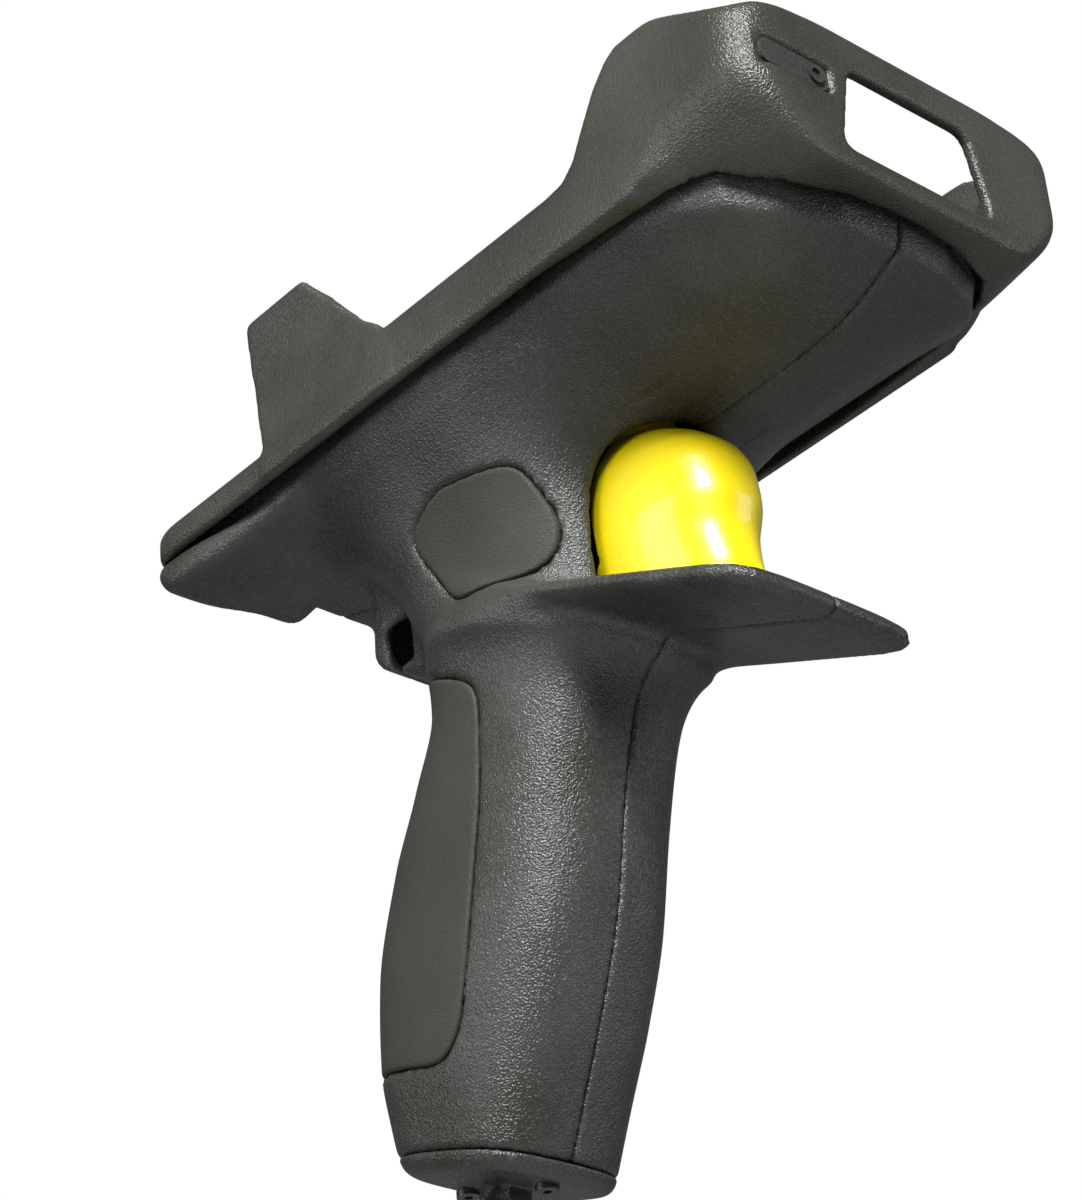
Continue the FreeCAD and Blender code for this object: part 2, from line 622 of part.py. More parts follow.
def trigger_pin():
    """Hinge pin of the trigger."""
    return rod_x(PIN_RADIUS, -PIN_HALF, PIN_HALF, PIVOT_Y, PIVOT_Z)


def trigger_bushes():
    """Two flanged bushes that hold the pin's ends."""
    parts = []
    for side in (-1, 1):
        ends = sorted((side * (SLOT_HALF + 0.3), side * PIN_HALF))
        sleeve = rod_x(3.15, ends[0], ends[1], PIVOT_Y, PIVOT_Z)
        parts.append(sleeve.cut(rod_x(PIN_RADIUS + 0.01, -20.0, 20.0, PIVOT_Y, PIVOT_Z)))
    return Part.makeCompound(parts)


def trigger_spring():
    """Torsion spring round the pin, with a leg to the ceiling and a leg to the trigger."""
    wire = 0.4
    coil = 2.6
    helix = Part.makeHelix(1.1, 4.4, coil)
    profile = Part.Wire([Part.makeCircle(wire, Vector(coil, 0, 0), Vector(0, 1, 0.07))])
    body = Part.Wire(helix.Edges).makePipeShell([profile], True, True)
    body.rotate(Vector(0, 0, 0), Vector(0, 1, 0), 90)
    body.translate(Vector(-2.2, PIVOT_Y, PIVOT_Z))
    up = Part.makeCylinder(wire, 4.2, Vector(-2.2, PIVOT_Y, PIVOT_Z - coil), Vector(0, 1, 0))
    return body, up


def switch_body():
    """Snap-action switch above the trigger's head."""
    case = round_edges(box(-6.4, 6.4, -15.0, -9.0, -11.9, -6.4), 0.5, Vector(0, 1, 0))
    case = case.cut(rod_z(PLUNGER_RADIUS + 0.1, -13.0, -8.0, 0.0, PLUNGER_Y))
    for x in (-3.6, 3.6):
        case = case.cut(rod_y(0.95, -16.0, -8.0, x, -9.2))
    for x in (-4.4, 4.4):
        case = case.fuse(box(x - 0.8, x + 0.8, -12.4, -11.6, -6.5, -5.6))
    return case.removeSplitter()


def switch_plunger():
    """Plunger that the trigger's head pushes up."""
    return rod_z(PLUNGER_RADIUS, PLUNGER_LOW_Z, -9.6, 0.0, PLUNGER_Y)


def switch_bracket():
    """Bent plate that holds the switch to the housing."""
    tab = box(-8.0, 8.0, -8.9, -7.9, -11.0, -5.3)
    foot = box(-8.0, 8.0, -8.9, -3.0, -6.3, -5.3)
    bracket = tab.fuse(foot).removeSplitter()
    for x in (-3.6, 3.6):
        bracket = bracket.cut(rod_y(0.95, -10.0, -7.0, x, -9.2))
    return bracket


def switch_screws():
    """Two small screws through the switch and its bracket."""
    parts = []
    for x in (-3.6, 3.6):
        screw = rod_y(0.9, -15.1, -7.2, x, -9.2).fuse(rod_y(1.5, -16.0, -15.05, x, -9.2))
        parts.append(one_solid(screw))
    return Part.makeCompound(parts)


def bent_wire(points, bend, radius):
    """Round wire along straight runs joined by tangent arcs."""
    edges = []
    start = points[0]
    for before, corner, after in zip(points, points[1:], points[2:]):
        into = (corner - before).normalize()
        out = (after - corner).normalize()
        half_turn = into.getAngle(out) / 2.0
        setback = bend * math.tan(half_turn)
        first = corner - into * setback
        last = corner + out * setback
        middle = corner + (out - into).normalize() * (bend / math.cos(half_turn) - bend)
        edges.append(Part.LineSegment(start, first).toShape())
        edges.append(Part.Arc(first, middle, last).toShape())
        start = last
    edges.append(Part.LineSegment(start, points[-1]).toShape())
    path = Part.Wire(edges)
    direction = (points[1] - points[0]).normalize()
    profile = Part.Wire([Part.makeCircle(radius, points[0], direction)])
    return path.makePipeShell([profile], True, True)


def switch_leads():
    """Two insulated wires from the switch to the contact board."""
    parts = []
    for x in (3.0, 6.0):
        points = [Vector(x, -2.8, -7.4), Vector(x, 50.0, -7.4), Vector(x, 64.0, -9.4)]
        parts.append(bent_wire(points, 25.0, 0.55))
    return Part.makeCompound(parts)


# ---- contact block ------------------------------------------------------------------------------
def contact_slab(z0, z1):
    """Rounded block under the contacts."""
    slab = box(-16.0, 16.0, CONTACT_Y - 4.0, CONTACT_Y + 4.0, z0, z1)
    return round_edges(slab, 1.5, Vector(0, 0, 1))


def contact_block():
    """Insulator that guides the spring contacts."""
    block = contact_slab(-8.6, -3.9)
    for x in contact_places():
        block = block.cut(rod_z(CONTACT_PIN_RADIUS + 0.06, -10.0, 0.0, x, CONTACT_Y))
        block = block.cut(rod_z(1.75, -10.0, -4.7, x, CONTACT_Y))
    for x in (-13.0, 13.0):
        block = block.cut(rod_z(0.95, -10.0, 0.0, x, CONTACT_Y))
    return block


def contact_gasket():
    """Foam seal between the block and the floor."""
    seal = contact_slab(-3.88, FLOOR_BOTTOM)
    for x in contact_places():
        seal = seal.cut(rod_z(CONTACT_PIN_RADIUS + 0.4, -5.0, 0.0, x, CONTACT_Y))
    for x in (-13.0, 13.0):
        seal = seal.cut(rod_z(1.0, -5.0, 0.0, x, CONTACT_Y))
    return seal


def contact_pin(x):
    """Spring contact with a domed head and a flange."""
    top = SEAT_Z + CONTACT_STAND
    stem = rod_z(CONTACT_PIN_RADIUS, -5.2, top - 0.5, x, CONTACT_Y)
    head = Part.makeCone(CONTACT_PIN_RADIUS, 0.5, 0.5, Vector(x, CONTACT_Y, top - 0.5), Vector(0, 0, 1))
    flange = rod_z(1.6, -5.4, -4.8, x, CONTACT_Y)
    return stem.fuse([head, flange]).removeSplitter()


def contact_springs():
    """Coil spring under each contact."""
    parts = []
    for x in contact_places():
        helix = Part.makeHelix(0.78, 2.4, 1.2)
        profile = Part.Wire([Part.makeCircle(0.18, Vector(1.2, 0, 0), Vector(0, 1, 0.1))])
        coil = Part.Wire(helix.Edges).makePipeShell([profile], True, True)
        coil.translate(Vector(x, CONTACT_Y, -8.2))
        parts.append(coil)
    return Part.makeCompound(parts)


def contact_board():
    """Circuit board under the block."""
    board = box(-16.0, 16.0, CONTACT_Y - 5.5, CONTACT_Y + 5.0, -9.9, -8.7)
    for x in (-13.0, 13.0):
        board = board.cut(rod_z(0.95, -11.0, 0.0, x, CONTACT_Y))
    return board


def board_screws():
    """Two screws up through the board, the block and the seal into the floor."""
    parts = []
    for x in (-13.0, 13.0):
        screw = rod_z(0.85, -10.0, FLOOR_TOP - 1.0, x, CONTACT_Y)
        screw = screw.fuse(rod_z(1.6, -10.9, -9.92, x, CONTACT_Y))
        parts.append(one_solid(screw))
    return Part.makeCompound(parts)


def main():
    """Write every node."""
    os.makedirs("parts", exist_ok=True)
    save("cradle_shell", cradle_shell())
    save("port_plug", port_plug())
    for name, side in (("left", -1), ("right", 1)):
        save(name + "_handle_half", handle_half(side))
        save(name + "_grip_pad", inlaid_pad(side, 0))
        save(name + "_side_pad", inlaid_pad(side, 1))
        save(name + "_ear_pad", ear_pad(side))
    save("clamshell_screws", clamshell_screws())
    save("clamshell_inserts", clamshell_inserts())
    save("cradle_screws", cradle_screws())
    save("cradle_inserts", cradle_inserts())
    save("front_seat_pad", seat_pad(*SEAT_PAD_ROWS[0]))
    save("rear_seat_pad", seat_pad(*SEAT_PAD_ROWS[1]))
    save("butt_cap", butt_cap())
    save("butt_screws", butt_screws())
    save("trigger", trigger())
    save("trigger_pin", trigger_pin())
    save("trigger_bushes", trigger_bushes())
    coil, leg = trigger_spring()
    save("trigger_spring", one_solid(coil.fuse(leg)))
    save("switch_body", switch_body())
    save("switch_plunger", switch_plunger())
    save("switch_bracket", switch_bracket())
    save("switch_screws", switch_screws())
    save("switch_leads", switch_leads())
    save("contact_block", contact_block())
    save("contact_gasket", contact_gasket())
    for index, x in enumerate(contact_places()):
        save("contact_pin_%d" % (index + 1), contact_pin(x))
    save("contact_springs", contact_springs())
    save("contact_board", contact_board())
    save("board_screws", board_screws())


main()
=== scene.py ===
"""Looks of a snap-on trigger handle for a rugged touch computer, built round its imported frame.

Lengths inside the makers are in millimetres. Every mesh is written in metres, in the frame's own
axes.
"""

import json
import logging
import math
from dataclasses import dataclass
from enum import Enum
from typing import Sequence

import bpy
import numpy as np
import openvdb
from mathutils import Matrix, Vector

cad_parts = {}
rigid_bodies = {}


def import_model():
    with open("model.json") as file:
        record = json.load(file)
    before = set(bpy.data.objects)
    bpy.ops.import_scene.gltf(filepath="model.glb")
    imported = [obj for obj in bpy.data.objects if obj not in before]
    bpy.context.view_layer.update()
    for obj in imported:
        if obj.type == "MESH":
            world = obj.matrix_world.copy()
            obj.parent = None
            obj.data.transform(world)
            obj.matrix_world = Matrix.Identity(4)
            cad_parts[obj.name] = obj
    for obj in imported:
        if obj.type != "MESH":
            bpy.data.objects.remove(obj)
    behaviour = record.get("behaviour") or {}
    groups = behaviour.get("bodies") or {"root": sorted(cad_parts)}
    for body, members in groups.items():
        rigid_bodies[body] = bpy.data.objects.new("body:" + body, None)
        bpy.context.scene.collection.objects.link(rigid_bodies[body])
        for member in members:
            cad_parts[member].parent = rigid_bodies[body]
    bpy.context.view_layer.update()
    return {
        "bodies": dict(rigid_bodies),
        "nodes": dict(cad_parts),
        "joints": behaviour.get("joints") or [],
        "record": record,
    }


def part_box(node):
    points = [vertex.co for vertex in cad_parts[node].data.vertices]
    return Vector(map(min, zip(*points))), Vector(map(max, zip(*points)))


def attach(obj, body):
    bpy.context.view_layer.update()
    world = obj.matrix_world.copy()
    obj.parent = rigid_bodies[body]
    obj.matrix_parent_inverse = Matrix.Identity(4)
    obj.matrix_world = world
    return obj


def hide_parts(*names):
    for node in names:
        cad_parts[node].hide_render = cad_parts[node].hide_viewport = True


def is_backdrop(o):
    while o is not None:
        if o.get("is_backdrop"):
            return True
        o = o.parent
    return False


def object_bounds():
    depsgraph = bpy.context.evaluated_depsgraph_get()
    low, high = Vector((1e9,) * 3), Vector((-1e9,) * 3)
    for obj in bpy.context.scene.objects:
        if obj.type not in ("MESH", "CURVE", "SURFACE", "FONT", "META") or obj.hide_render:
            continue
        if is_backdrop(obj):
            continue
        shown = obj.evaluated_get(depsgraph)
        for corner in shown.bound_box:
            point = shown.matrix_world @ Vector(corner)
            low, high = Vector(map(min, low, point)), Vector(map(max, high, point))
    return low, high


LOG = logging.getLogger("trigger_handle")
MM = 0.001
STEEPNESS_FLOOR = 0.02  # least slope that a field is divided by
BAND_SAMPLES = 4.0      # distances kept round a surface, in samples
EASE_LIMIT = 0.45       # longest corner curve, as a part of its edge
FINE_PITCH = 0.42       # sampling of the trigger and of the foot's cap
Array = np.ndarray
Outline = Sequence[tuple[float, float]]
Stations = tuple[float, ...]
Point = tuple[float, float, float]


class Body(Enum):
    """Names of the frame's moving bodies."""

    HANDLE = "handle"
    TRIGGER = "trigger_lever"


class Side(Enum):
    """Sides of the handle, seen by the hand that holds it."""

    LEFT = -1
    RIGHT = 1

    @property
    def word(self) -> str:
        """The side's name as the frame spells it."""
        return self.name.lower()


# ---- distance fields ---------------------------------------------------------------------------
def meet(a: Array, b: Array, width: float) -> Array:
    """Keep what two fields share, with the edge between them rounded.

    Args:
        a: First distance field.
        b: Second distance field.
        width: Width of the rounding, in millimetres.

    Returns:
        The joint field.
    """
    near = np.maximum(width - np.abs(a - b), 0.0) / width
    return np.maximum(a, b) + near * near * (width / 4.0)


def join(a: Array, b: Array, width: float) -> Array:
    """Put two fields together with a fillet.

    Args:
        a: First distance field.
        b: Second distance field.
        width: Width of the fillet, in millimetres.

    Returns:
        The joint field.
    """
    return -meet(-a, -b, width)


def carve(a: Array, b: Array, width: float) -> Array:
    """Take field b out of field a, with the rim rounded by a width in millimetres."""
    return meet(a, -b, width)


def between(value: Array, low: float, high: float) -> Array:
    """Distance from a slab between two levels of a coordinate."""
    return np.maximum(low - value, value - high)


def from_outline(points: Outline, u: Array, v: Array) -> Array:
    """Signed distance from a closed outline.

    Args:
        points: Corners of the outline.
        u: First coordinate of the samples.
        v: Second coordinate of the samples.

    Returns:
        Distances, negative inside.
    """
    shape = np.broadcast(u, v).shape
    best = np.full(shape, 1e9, np.float32)
    inside = np.zeros(shape, bool)
    for (u0, v0), (u1, v1) in zip(points, list(points[1:]) + [points[0]]):
        du = u1 - u0
        dv = v1 - v0
        along = np.clip(((u - u0) * du + (v - v0) * dv) / (du * du + dv * dv), 0.0, 1.0)
        best = np.minimum(best, (u - u0 - du * along) ** 2 + (v - v0 - dv * along) ** 2)
        if dv != 0.0:
            inside ^= ((v0 > v) != (v1 > v)) & (u < du * (v - v0) / dv + u0)
    return np.where(inside, -1.0, 1.0).astype(np.float32) * np.sqrt(best)


def eased(points: Outline, setback: float, steps: int = 5) -> list[tuple[float, float]]:
    """Round the corners of a closed outline.

    Args:
        points: Corners of the outline.
        setback: How far from a corner its curve starts, up to EASE_LIMIT of an edge.
        steps: Points along each curve.

    Returns:
        The outline with a curve at each corner.
    """
    rounded = []
    count = len(points)
    for i, corner in enumerate(points):
        here = Vector(corner)
        before = Vector(points[i - 1]) - here
        after = Vector(points[(i + 1) % count]) - here
        start = here + before.normalized() * min(setback, before.length * EASE_LIMIT)
        end = here + after.normalized() * min(setback, after.length * EASE_LIMIT)
        for k in range(steps + 1):
            t = k / steps
            point = start * (1 - t) ** 2 + here * 2 * t * (1 - t) + end * t * t
            rounded.append((point.x, point.y))
    return rounded


def both_sides(right: Outline) -> list[tuple[float, float]]:
    """Close an outline given on the right of the middle line by mirroring its first coordinate."""
    return list(right) + [(-u, v) for u, v in reversed(right)]


def glide(at: Array, stops: Sequence[float], values: Sequence[float]) -> Array:
    """Read a smooth curve through stations, without overshoot.

    Args:
        at: Where to read it.
        stops: Stations, rising.
        values: Value at each station.

    Returns:
        The curve's values, flat past both ends.
    """
    x = np.asarray(stops, float)
    y = np.asarray(values, float)
    step = np.diff(x)
    slope = np.diff(y) / step
    tangent = np.zeros(len(x))
    for i in range(1, len(x) - 1):
        if slope[i - 1] * slope[i] > 0:
            tangent[i] = 2.0 * slope[i - 1] * slope[i] / (slope[i - 1] + slope[i])
    tangent[0] = slope[0]
    tangent[-1] = slope[-1]
    place = np.clip(np.asarray(at, float), x[0], x[-1])
    i = np.clip(np.searchsorted(x, place) - 1, 0, len(x) - 2)
    t = (place - x[i]) / step[i]
    first = (1 + 2 * t) * (1 - t) ** 2 * y[i] + t * (1 - t) ** 2 * step[i] * tangent[i]
    second = t * t * (3 - 2 * t) * y[i + 1] + t * t * (t - 1) * step[i] * tangent[i + 1]
    return (first + second).astype(np.float32)


class Lattice:
    """A block of sample points, and the mesher for fields sampled on it."""

    def __init__(self, low: Sequence[float], high: Sequence[float], pitch: float) -> None:
        """Lay out the samples.

        Args:
            low: Lowest corner in millimetres.
            high: Highest corner in millimetres.
            pitch: Spacing in millimetres.
        """
        self.low = tuple(low)
        self.pitch = pitch
        counts = [int(math.ceil((h - l) / pitch)) + 1 for l, h in zip(low, high)]
        axes = [(l + pitch * np.arange(n)).astype(np.float32) for l, n in zip(low, counts)]
        self.x = axes[0][:, None, None]
        self.y = axes[1][None, :, None]
        self.z = axes[2][None, None, :]
        self.shape = tuple(counts)

    def true_distance(self, field: Array) -> Array:
        """Scale a field so that it grows by a millimetre per millimetre near its surface.

        Args:
            field: The field to scale.

        Returns:
            The scaled field.
        """
        grad = np.gradient(np.broadcast_to(field, self.shape), self.pitch)
        steepness = np.sqrt(grad[0] ** 2 + grad[1] ** 2 + grad[2] ** 2)
        return (field / np.maximum(steepness, STEEPNESS_FLOOR)).astype(np.float32)

    def rod(
        self, axis: str, radius: float, centre: tuple[float, float], low: float, high: float
    ) -> Array:
        """Distance from a round rod along an axis.

        Args:
            axis: "x", "y" or "z".
            radius: The rod's radius.
            centre: Its two other coordinates, in the order of the axes.
            low: Where it starts.
            high: Where it ends.

        Returns:
            The rod's field.
        """
        along = {"x": self.x, "y": self.y, "z": self.z}[axis]
        across = [c for name, c in (("x", self.x), ("y", self.y), ("z", self.z)) if name != axis]
        round_part = np.sqrt((across[0] - centre[0]) ** 2 + (across[1] - centre[1]) ** 2) - radius
        return np.maximum(round_part, between(along, low, high))

    def slab(self, x: tuple[float, float], y: tuple[float, float], z: tuple[float, float]) -> Array:
        """Distance from a straight block given by its three ranges."""
        return np.maximum(np.maximum(between(self.x, *x), between(self.y, *y)), between(self.z, *z))

    def mesh(self, name: str, field: Array) -> bpy.types.Object:
        """Turn a field's zero surface into a smooth-shaded object.

        Args:
            name: The object's name.
            field: Distances, negative inside.

        Returns:
            The new object, linked to the scene.
        """
        values = np.ascontiguousarray(np.broadcast_to(field, self.shape), dtype=np.float32)
        band = BAND_SAMPLES * self.pitch
        values = np.clip(values, -band, band)
        grid = openvdb.FloatGrid(band)
        grid.copyFromArray(values)
        points, triangles, quads = grid.convertToPolygons(isovalue=0.0, adaptivity=0.0)
        points = (points * self.pitch + np.asarray(self.low)) * MM
        faces = [tuple(map(int, face[::-1])) for part in (quads, triangles) for face in part]
        mesh = bpy.data.meshes.new(name)
        mesh.from_pydata(points.tolist(), [], faces)
        mesh.update()
        if signed_volume(mesh) < 0:
            mesh.flip_normals()
        mesh.shade_smooth()
        piece = bpy.data.objects.new(name, mesh)
        bpy.context.scene.collection.objects.link(piece)
        return piece


def signed_volume(mesh: bpy.types.Mesh) -> float:
    """Volume inside a mesh, negative when its faces look inwards.

    Args:
        mesh: The mesh to measure.

    Returns:
        The volume in cubic metres.
    """
    mesh.calc_loop_triangles()
    points = np.empty(len(mesh.vertices) * 3, np.float32)
    mesh.vertices.foreach_get("co", points)
    points = points.reshape(-1, 3).astype(float)
    corners = np.empty(len(mesh.loop_triangles) * 3, np.int32)
    mesh.loop_triangles.foreach_get("vertices", corners)
    a, b, c = (points[corners.reshape(-1, 3)[:, i]] for i in range(3))
    return float(np.einsum("ij,ij->i", a, np.cross(b, c)).sum() / 6.0)


class Place:
    """A frame node's box in millimetres."""

    def __init__(self, node: str) -> None:
        """Read the box of a node.

        Args:
            node: The node's name.
        """
        low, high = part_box(node)
        self.low = low / MM
        self.high = high / MM

    @property
    def middle(self) -> Vector:
        """Centre of the box."""
        return (self.low + self.high) / 2.0

    def block(self, g: Lattice) -> Array:
        """Distance from the box."""
        return g.slab(*((self.low[i], self.high[i]) for i in range(3)))


# ---- shader groups -----------------------------------------------------------------------------
class NodeBench:
    """Adds nodes to a tree with their settings and links in one call."""

    def __init__(self, tree: bpy.types.NodeTree) -> None:
        """Start on a node tree."""
        self.tree = tree

    def add(
        self, kind: str, settings: dict[str, object] | None = None, **sockets: object
    ) -> bpy.types.Node:
        """Add a node.

        Args:
            kind: The node's type.
            settings: Its properties.
            **sockets: Values or output sockets for its inputs; spaces in a socket's name are
                underscores, and in0, in1… stand for inputs by number.

        Returns:
            The new node.
        """
        node = self.tree.nodes.new(kind)
        for key, value in (settings or {}).items():
            setattr(node, key, value)
        for key, value in sockets.items():
            known = key.startswith("in") and key[2:].isdigit()
            socket = node.inputs[int(key[2:])] if known else node.inputs[key.replace("_", " ")]
            if isinstance(value, bpy.types.NodeSocket):
                self.tree.links.new(value, socket)
            else:
                socket.default_value = value
        return node

    def ramp(self, source: bpy.types.NodeSocket, low: float, high: float) -> bpy.types.NodeSocket:
        """Stretch a value between two levels to 0…1.

        Args:
            source: The output to stretch.
            low: Level that becomes 0.
            high: Level that becomes 1.

        Returns:
            The stretched output.
        """
        node = self.add("ShaderNodeMapRange", {"interpolation_type": "SMOOTHSTEP"}, Value=source)
        node.inputs["From Min"].default_value = low
        node.inputs["From Max"].default_value = high
        return node.outputs["Result"]

    def math(self, operation: str, first: object, second: object) -> bpy.types.NodeSocket:
        """Combine two values and return the output."""
        node = self.add("ShaderNodeMath", {"operation": operation}, in0=first, in1=second)
        return node.outputs[0]


class Effects:
    """Shader groups that several finishes share, each built once."""

    PIT_SHARE = 0.7
    BROAD_RATIO = 0.45
    # Painted glint: grain crests between these levels get lighter specks that stand in for glints of
    # light.
    PAINTED_GLINT_LEVELS = (0.27, 0.4)
    WEAR_PATCHES = 90.0
    WEAR_LEVELS = (0.38, 0.66)
    DUST_PATCHES = 55.0
    DUST_LEVELS = (0.4, 0.75)
    FACING_UP = (0.35, 1.0)
    TONE_LEVELS = (0.3, 0.7)
    PER_METRE = 1.0 / MM

    def __init__(self) -> None:
        """Build every group."""
        self.grain = self.moulded_grain()
        self.wear = self.edge_wear()
        self.dust = self.settled_dust()
        self.drift = self.tone_drift()

    @staticmethod
    def start(
        name: str, inputs: dict[str, float], outputs: Sequence[str]
    ) -> tuple[NodeBench, dict[str, bpy.types.NodeSocket], bpy.types.Node]:
        """Open a new group.

        Args:
            name: The group's name.
            inputs: Its value inputs with their defaults.
            outputs: Names of its value outputs.

        Returns:
            The bench, the inputs by name and the output node.
        """
        tree = bpy.data.node_groups.new(name, "ShaderNodeTree")
        for key, value in inputs.items():
            socket = tree.interface.new_socket(key, in_out="INPUT", socket_type="NodeSocketFloat")
            socket.default_value = value
        for key in outputs:
            tree.interface.new_socket(key, in_out="OUTPUT", socket_type="NodeSocketFloat")
        bench = NodeBench(tree)
        entry = bench.add("NodeGroupInput")
        exit_node = bench.add("NodeGroupOutput")
        return bench, {s.name: s for s in entry.outputs if s.name}, exit_node

    def moulded_grain(self) -> bpy.types.NodeTree:
        """Spark-eroded mould grain: Height for a bump, and a painted glint mask that lightens crests
        where they would catch light.

        Returns:
            The group.
        """
        inputs = {"Pitch": 0.5, "Softness": 0.5}
        bench, given, out = self.start("moulded_grain", inputs, ("Height", "Fleck"))
        where = bench.add("ShaderNodeTexCoord").outputs["Object"]
        scale = bench.math("DIVIDE", self.PER_METRE, given["Pitch"])
        crisp = {"Vector": where, "Scale": scale, "Detail": 3.0, "Roughness": 0.55}
        fine = bench.add("ShaderNodeTexNoise", None, **crisp)
        smooth = {"feature": "SMOOTH_F1"}
        pits = bench.add("ShaderNodeTexVoronoi", smooth, Vector=where, Scale=scale)
        bench.tree.links.new(given["Softness"], pits.inputs["Smoothness"])
        pit = bench.math("MULTIPLY", pits.outputs["Distance"], self.PIT_SHARE)
        height = bench.math("ADD", fine.outputs[0], pit)
        wide = bench.math("MULTIPLY", scale, self.BROAD_RATIO)
        broad = bench.add("ShaderNodeTexNoise", None, Vector=where, Scale=wide, Detail=2.0)
        crests = bench.math("MULTIPLY", fine.outputs[0], broad.outputs[0])
        # Painted glint: specks on the grain's crests, later mixed into the colour as painted
        # highlights.
        painted_glint = bench.ramp(crests, *self.PAINTED_GLINT_LEVELS)
        bench.tree.links.new(height, out.inputs["Height"])
        bench.tree.links.new(painted_glint, out.inputs["Fleck"])
        return bench.tree

    def edge_wear(self) -> bpy.types.NodeTree:
        """Rubbed edges: a broken-up mask on convex edges.

        Returns:
            The group.
        """
        bench, given, out = self.start("edge_wear", {"Start": 0.52, "Spread": 0.06}, ("Mask",))
        bend = bench.add("ShaderNodeNewGeometry").outputs["Pointiness"]
        where = bench.add("ShaderNodeTexCoord").outputs["Object"]
        cloud = {"Scale": self.WEAR_PATCHES, "Detail": 4.0}
        patches = bench.add("ShaderNodeTexNoise", None, Vector=where, **cloud)
        lifted = bench.math("SUBTRACT", bend, given["Start"])
        clamped = {"operation": "DIVIDE", "use_clamp": True}
        edge = bench.add("ShaderNodeMath", clamped, in0=lifted, in1=given["Spread"])
        broken = bench.ramp(patches.outputs[0], *self.WEAR_LEVELS)
        mask = bench.math("MULTIPLY", edge.outputs[0], broken)
        bench.tree.links.new(mask, out.inputs["Mask"])
        return bench.tree

    def settled_dust(self) -> bpy.types.NodeTree:
        """Fine dust: a mask on faces that look up, in soft patches.

        Returns:
            The group.
        """
        bench, given, out = self.start("settled_dust", {"Amount": 0.2}, ("Mask",))
        normal = bench.add("ShaderNodeNewGeometry").outputs["Normal"]
        up = bench.add("ShaderNodeSeparateXYZ", None, Vector=normal).outputs["Z"]
        where = bench.add("ShaderNodeTexCoord").outputs["Object"]
        cloud = {"Scale": self.DUST_PATCHES, "Detail": 6.0, "Roughness": 0.7}
        patches = bench.add("ShaderNodeTexNoise", None, Vector=where, **cloud)
        soft = bench.ramp(patches.outputs[0], *self.DUST_LEVELS)
        mask = bench.math("MULTIPLY", bench.ramp(up, *self.FACING_UP), soft)
        bench.tree.links.new(bench.math("MULTIPLY", mask, given["Amount"]), out.inputs["Mask"])
        return bench.tree

    def tone_drift(self) -> bpy.types.NodeTree:
        """Slow change of tone over a moulding, about 0…1.

        Returns:
            The group.
        """
        bench, given, out = self.start("tone_drift", {"Size": 30.0}, ("Tone",))
        where = bench.add("ShaderNodeTexCoord").outputs["Object"]
        cloud = bench.add("ShaderNodeTexNoise", None, Vector=where, Detail=3.0)
        scale = bench.math("DIVIDE", self.PER_METRE, given["Size"])
        bench.tree.links.new(scale, cloud.inputs["Scale"])
        tone = bench.ramp(cloud.outputs[0], *self.TONE_LEVELS)
        bench.tree.links.new(tone, out.inputs["Tone"])
        return bench.tree


Colour = tuple[float, float, float]
TONE_SHARE = 0.35       # how far the tone patches go towards the second colour
PAINTED_GLINT_SHARE = 0.3       # how far the painted glints go towards it
DUST_COLOUR = (0.32, 0.30, 0.27, 1)
COAT_ROUGHNESS = 0.08
BUMP_RATIO = 0.6        # height of the grain, as a part of its pitch


def linear(red: int, green: int, blue: int) -> Colour:
    """Scene colour of a screen colour given as 0…255."""
    levels = (red, green, blue)
    return tuple(((c / 255.0 + 0.055) / 1.055) ** 2.4 if c > 10 else c / 3294.6 for c in levels)


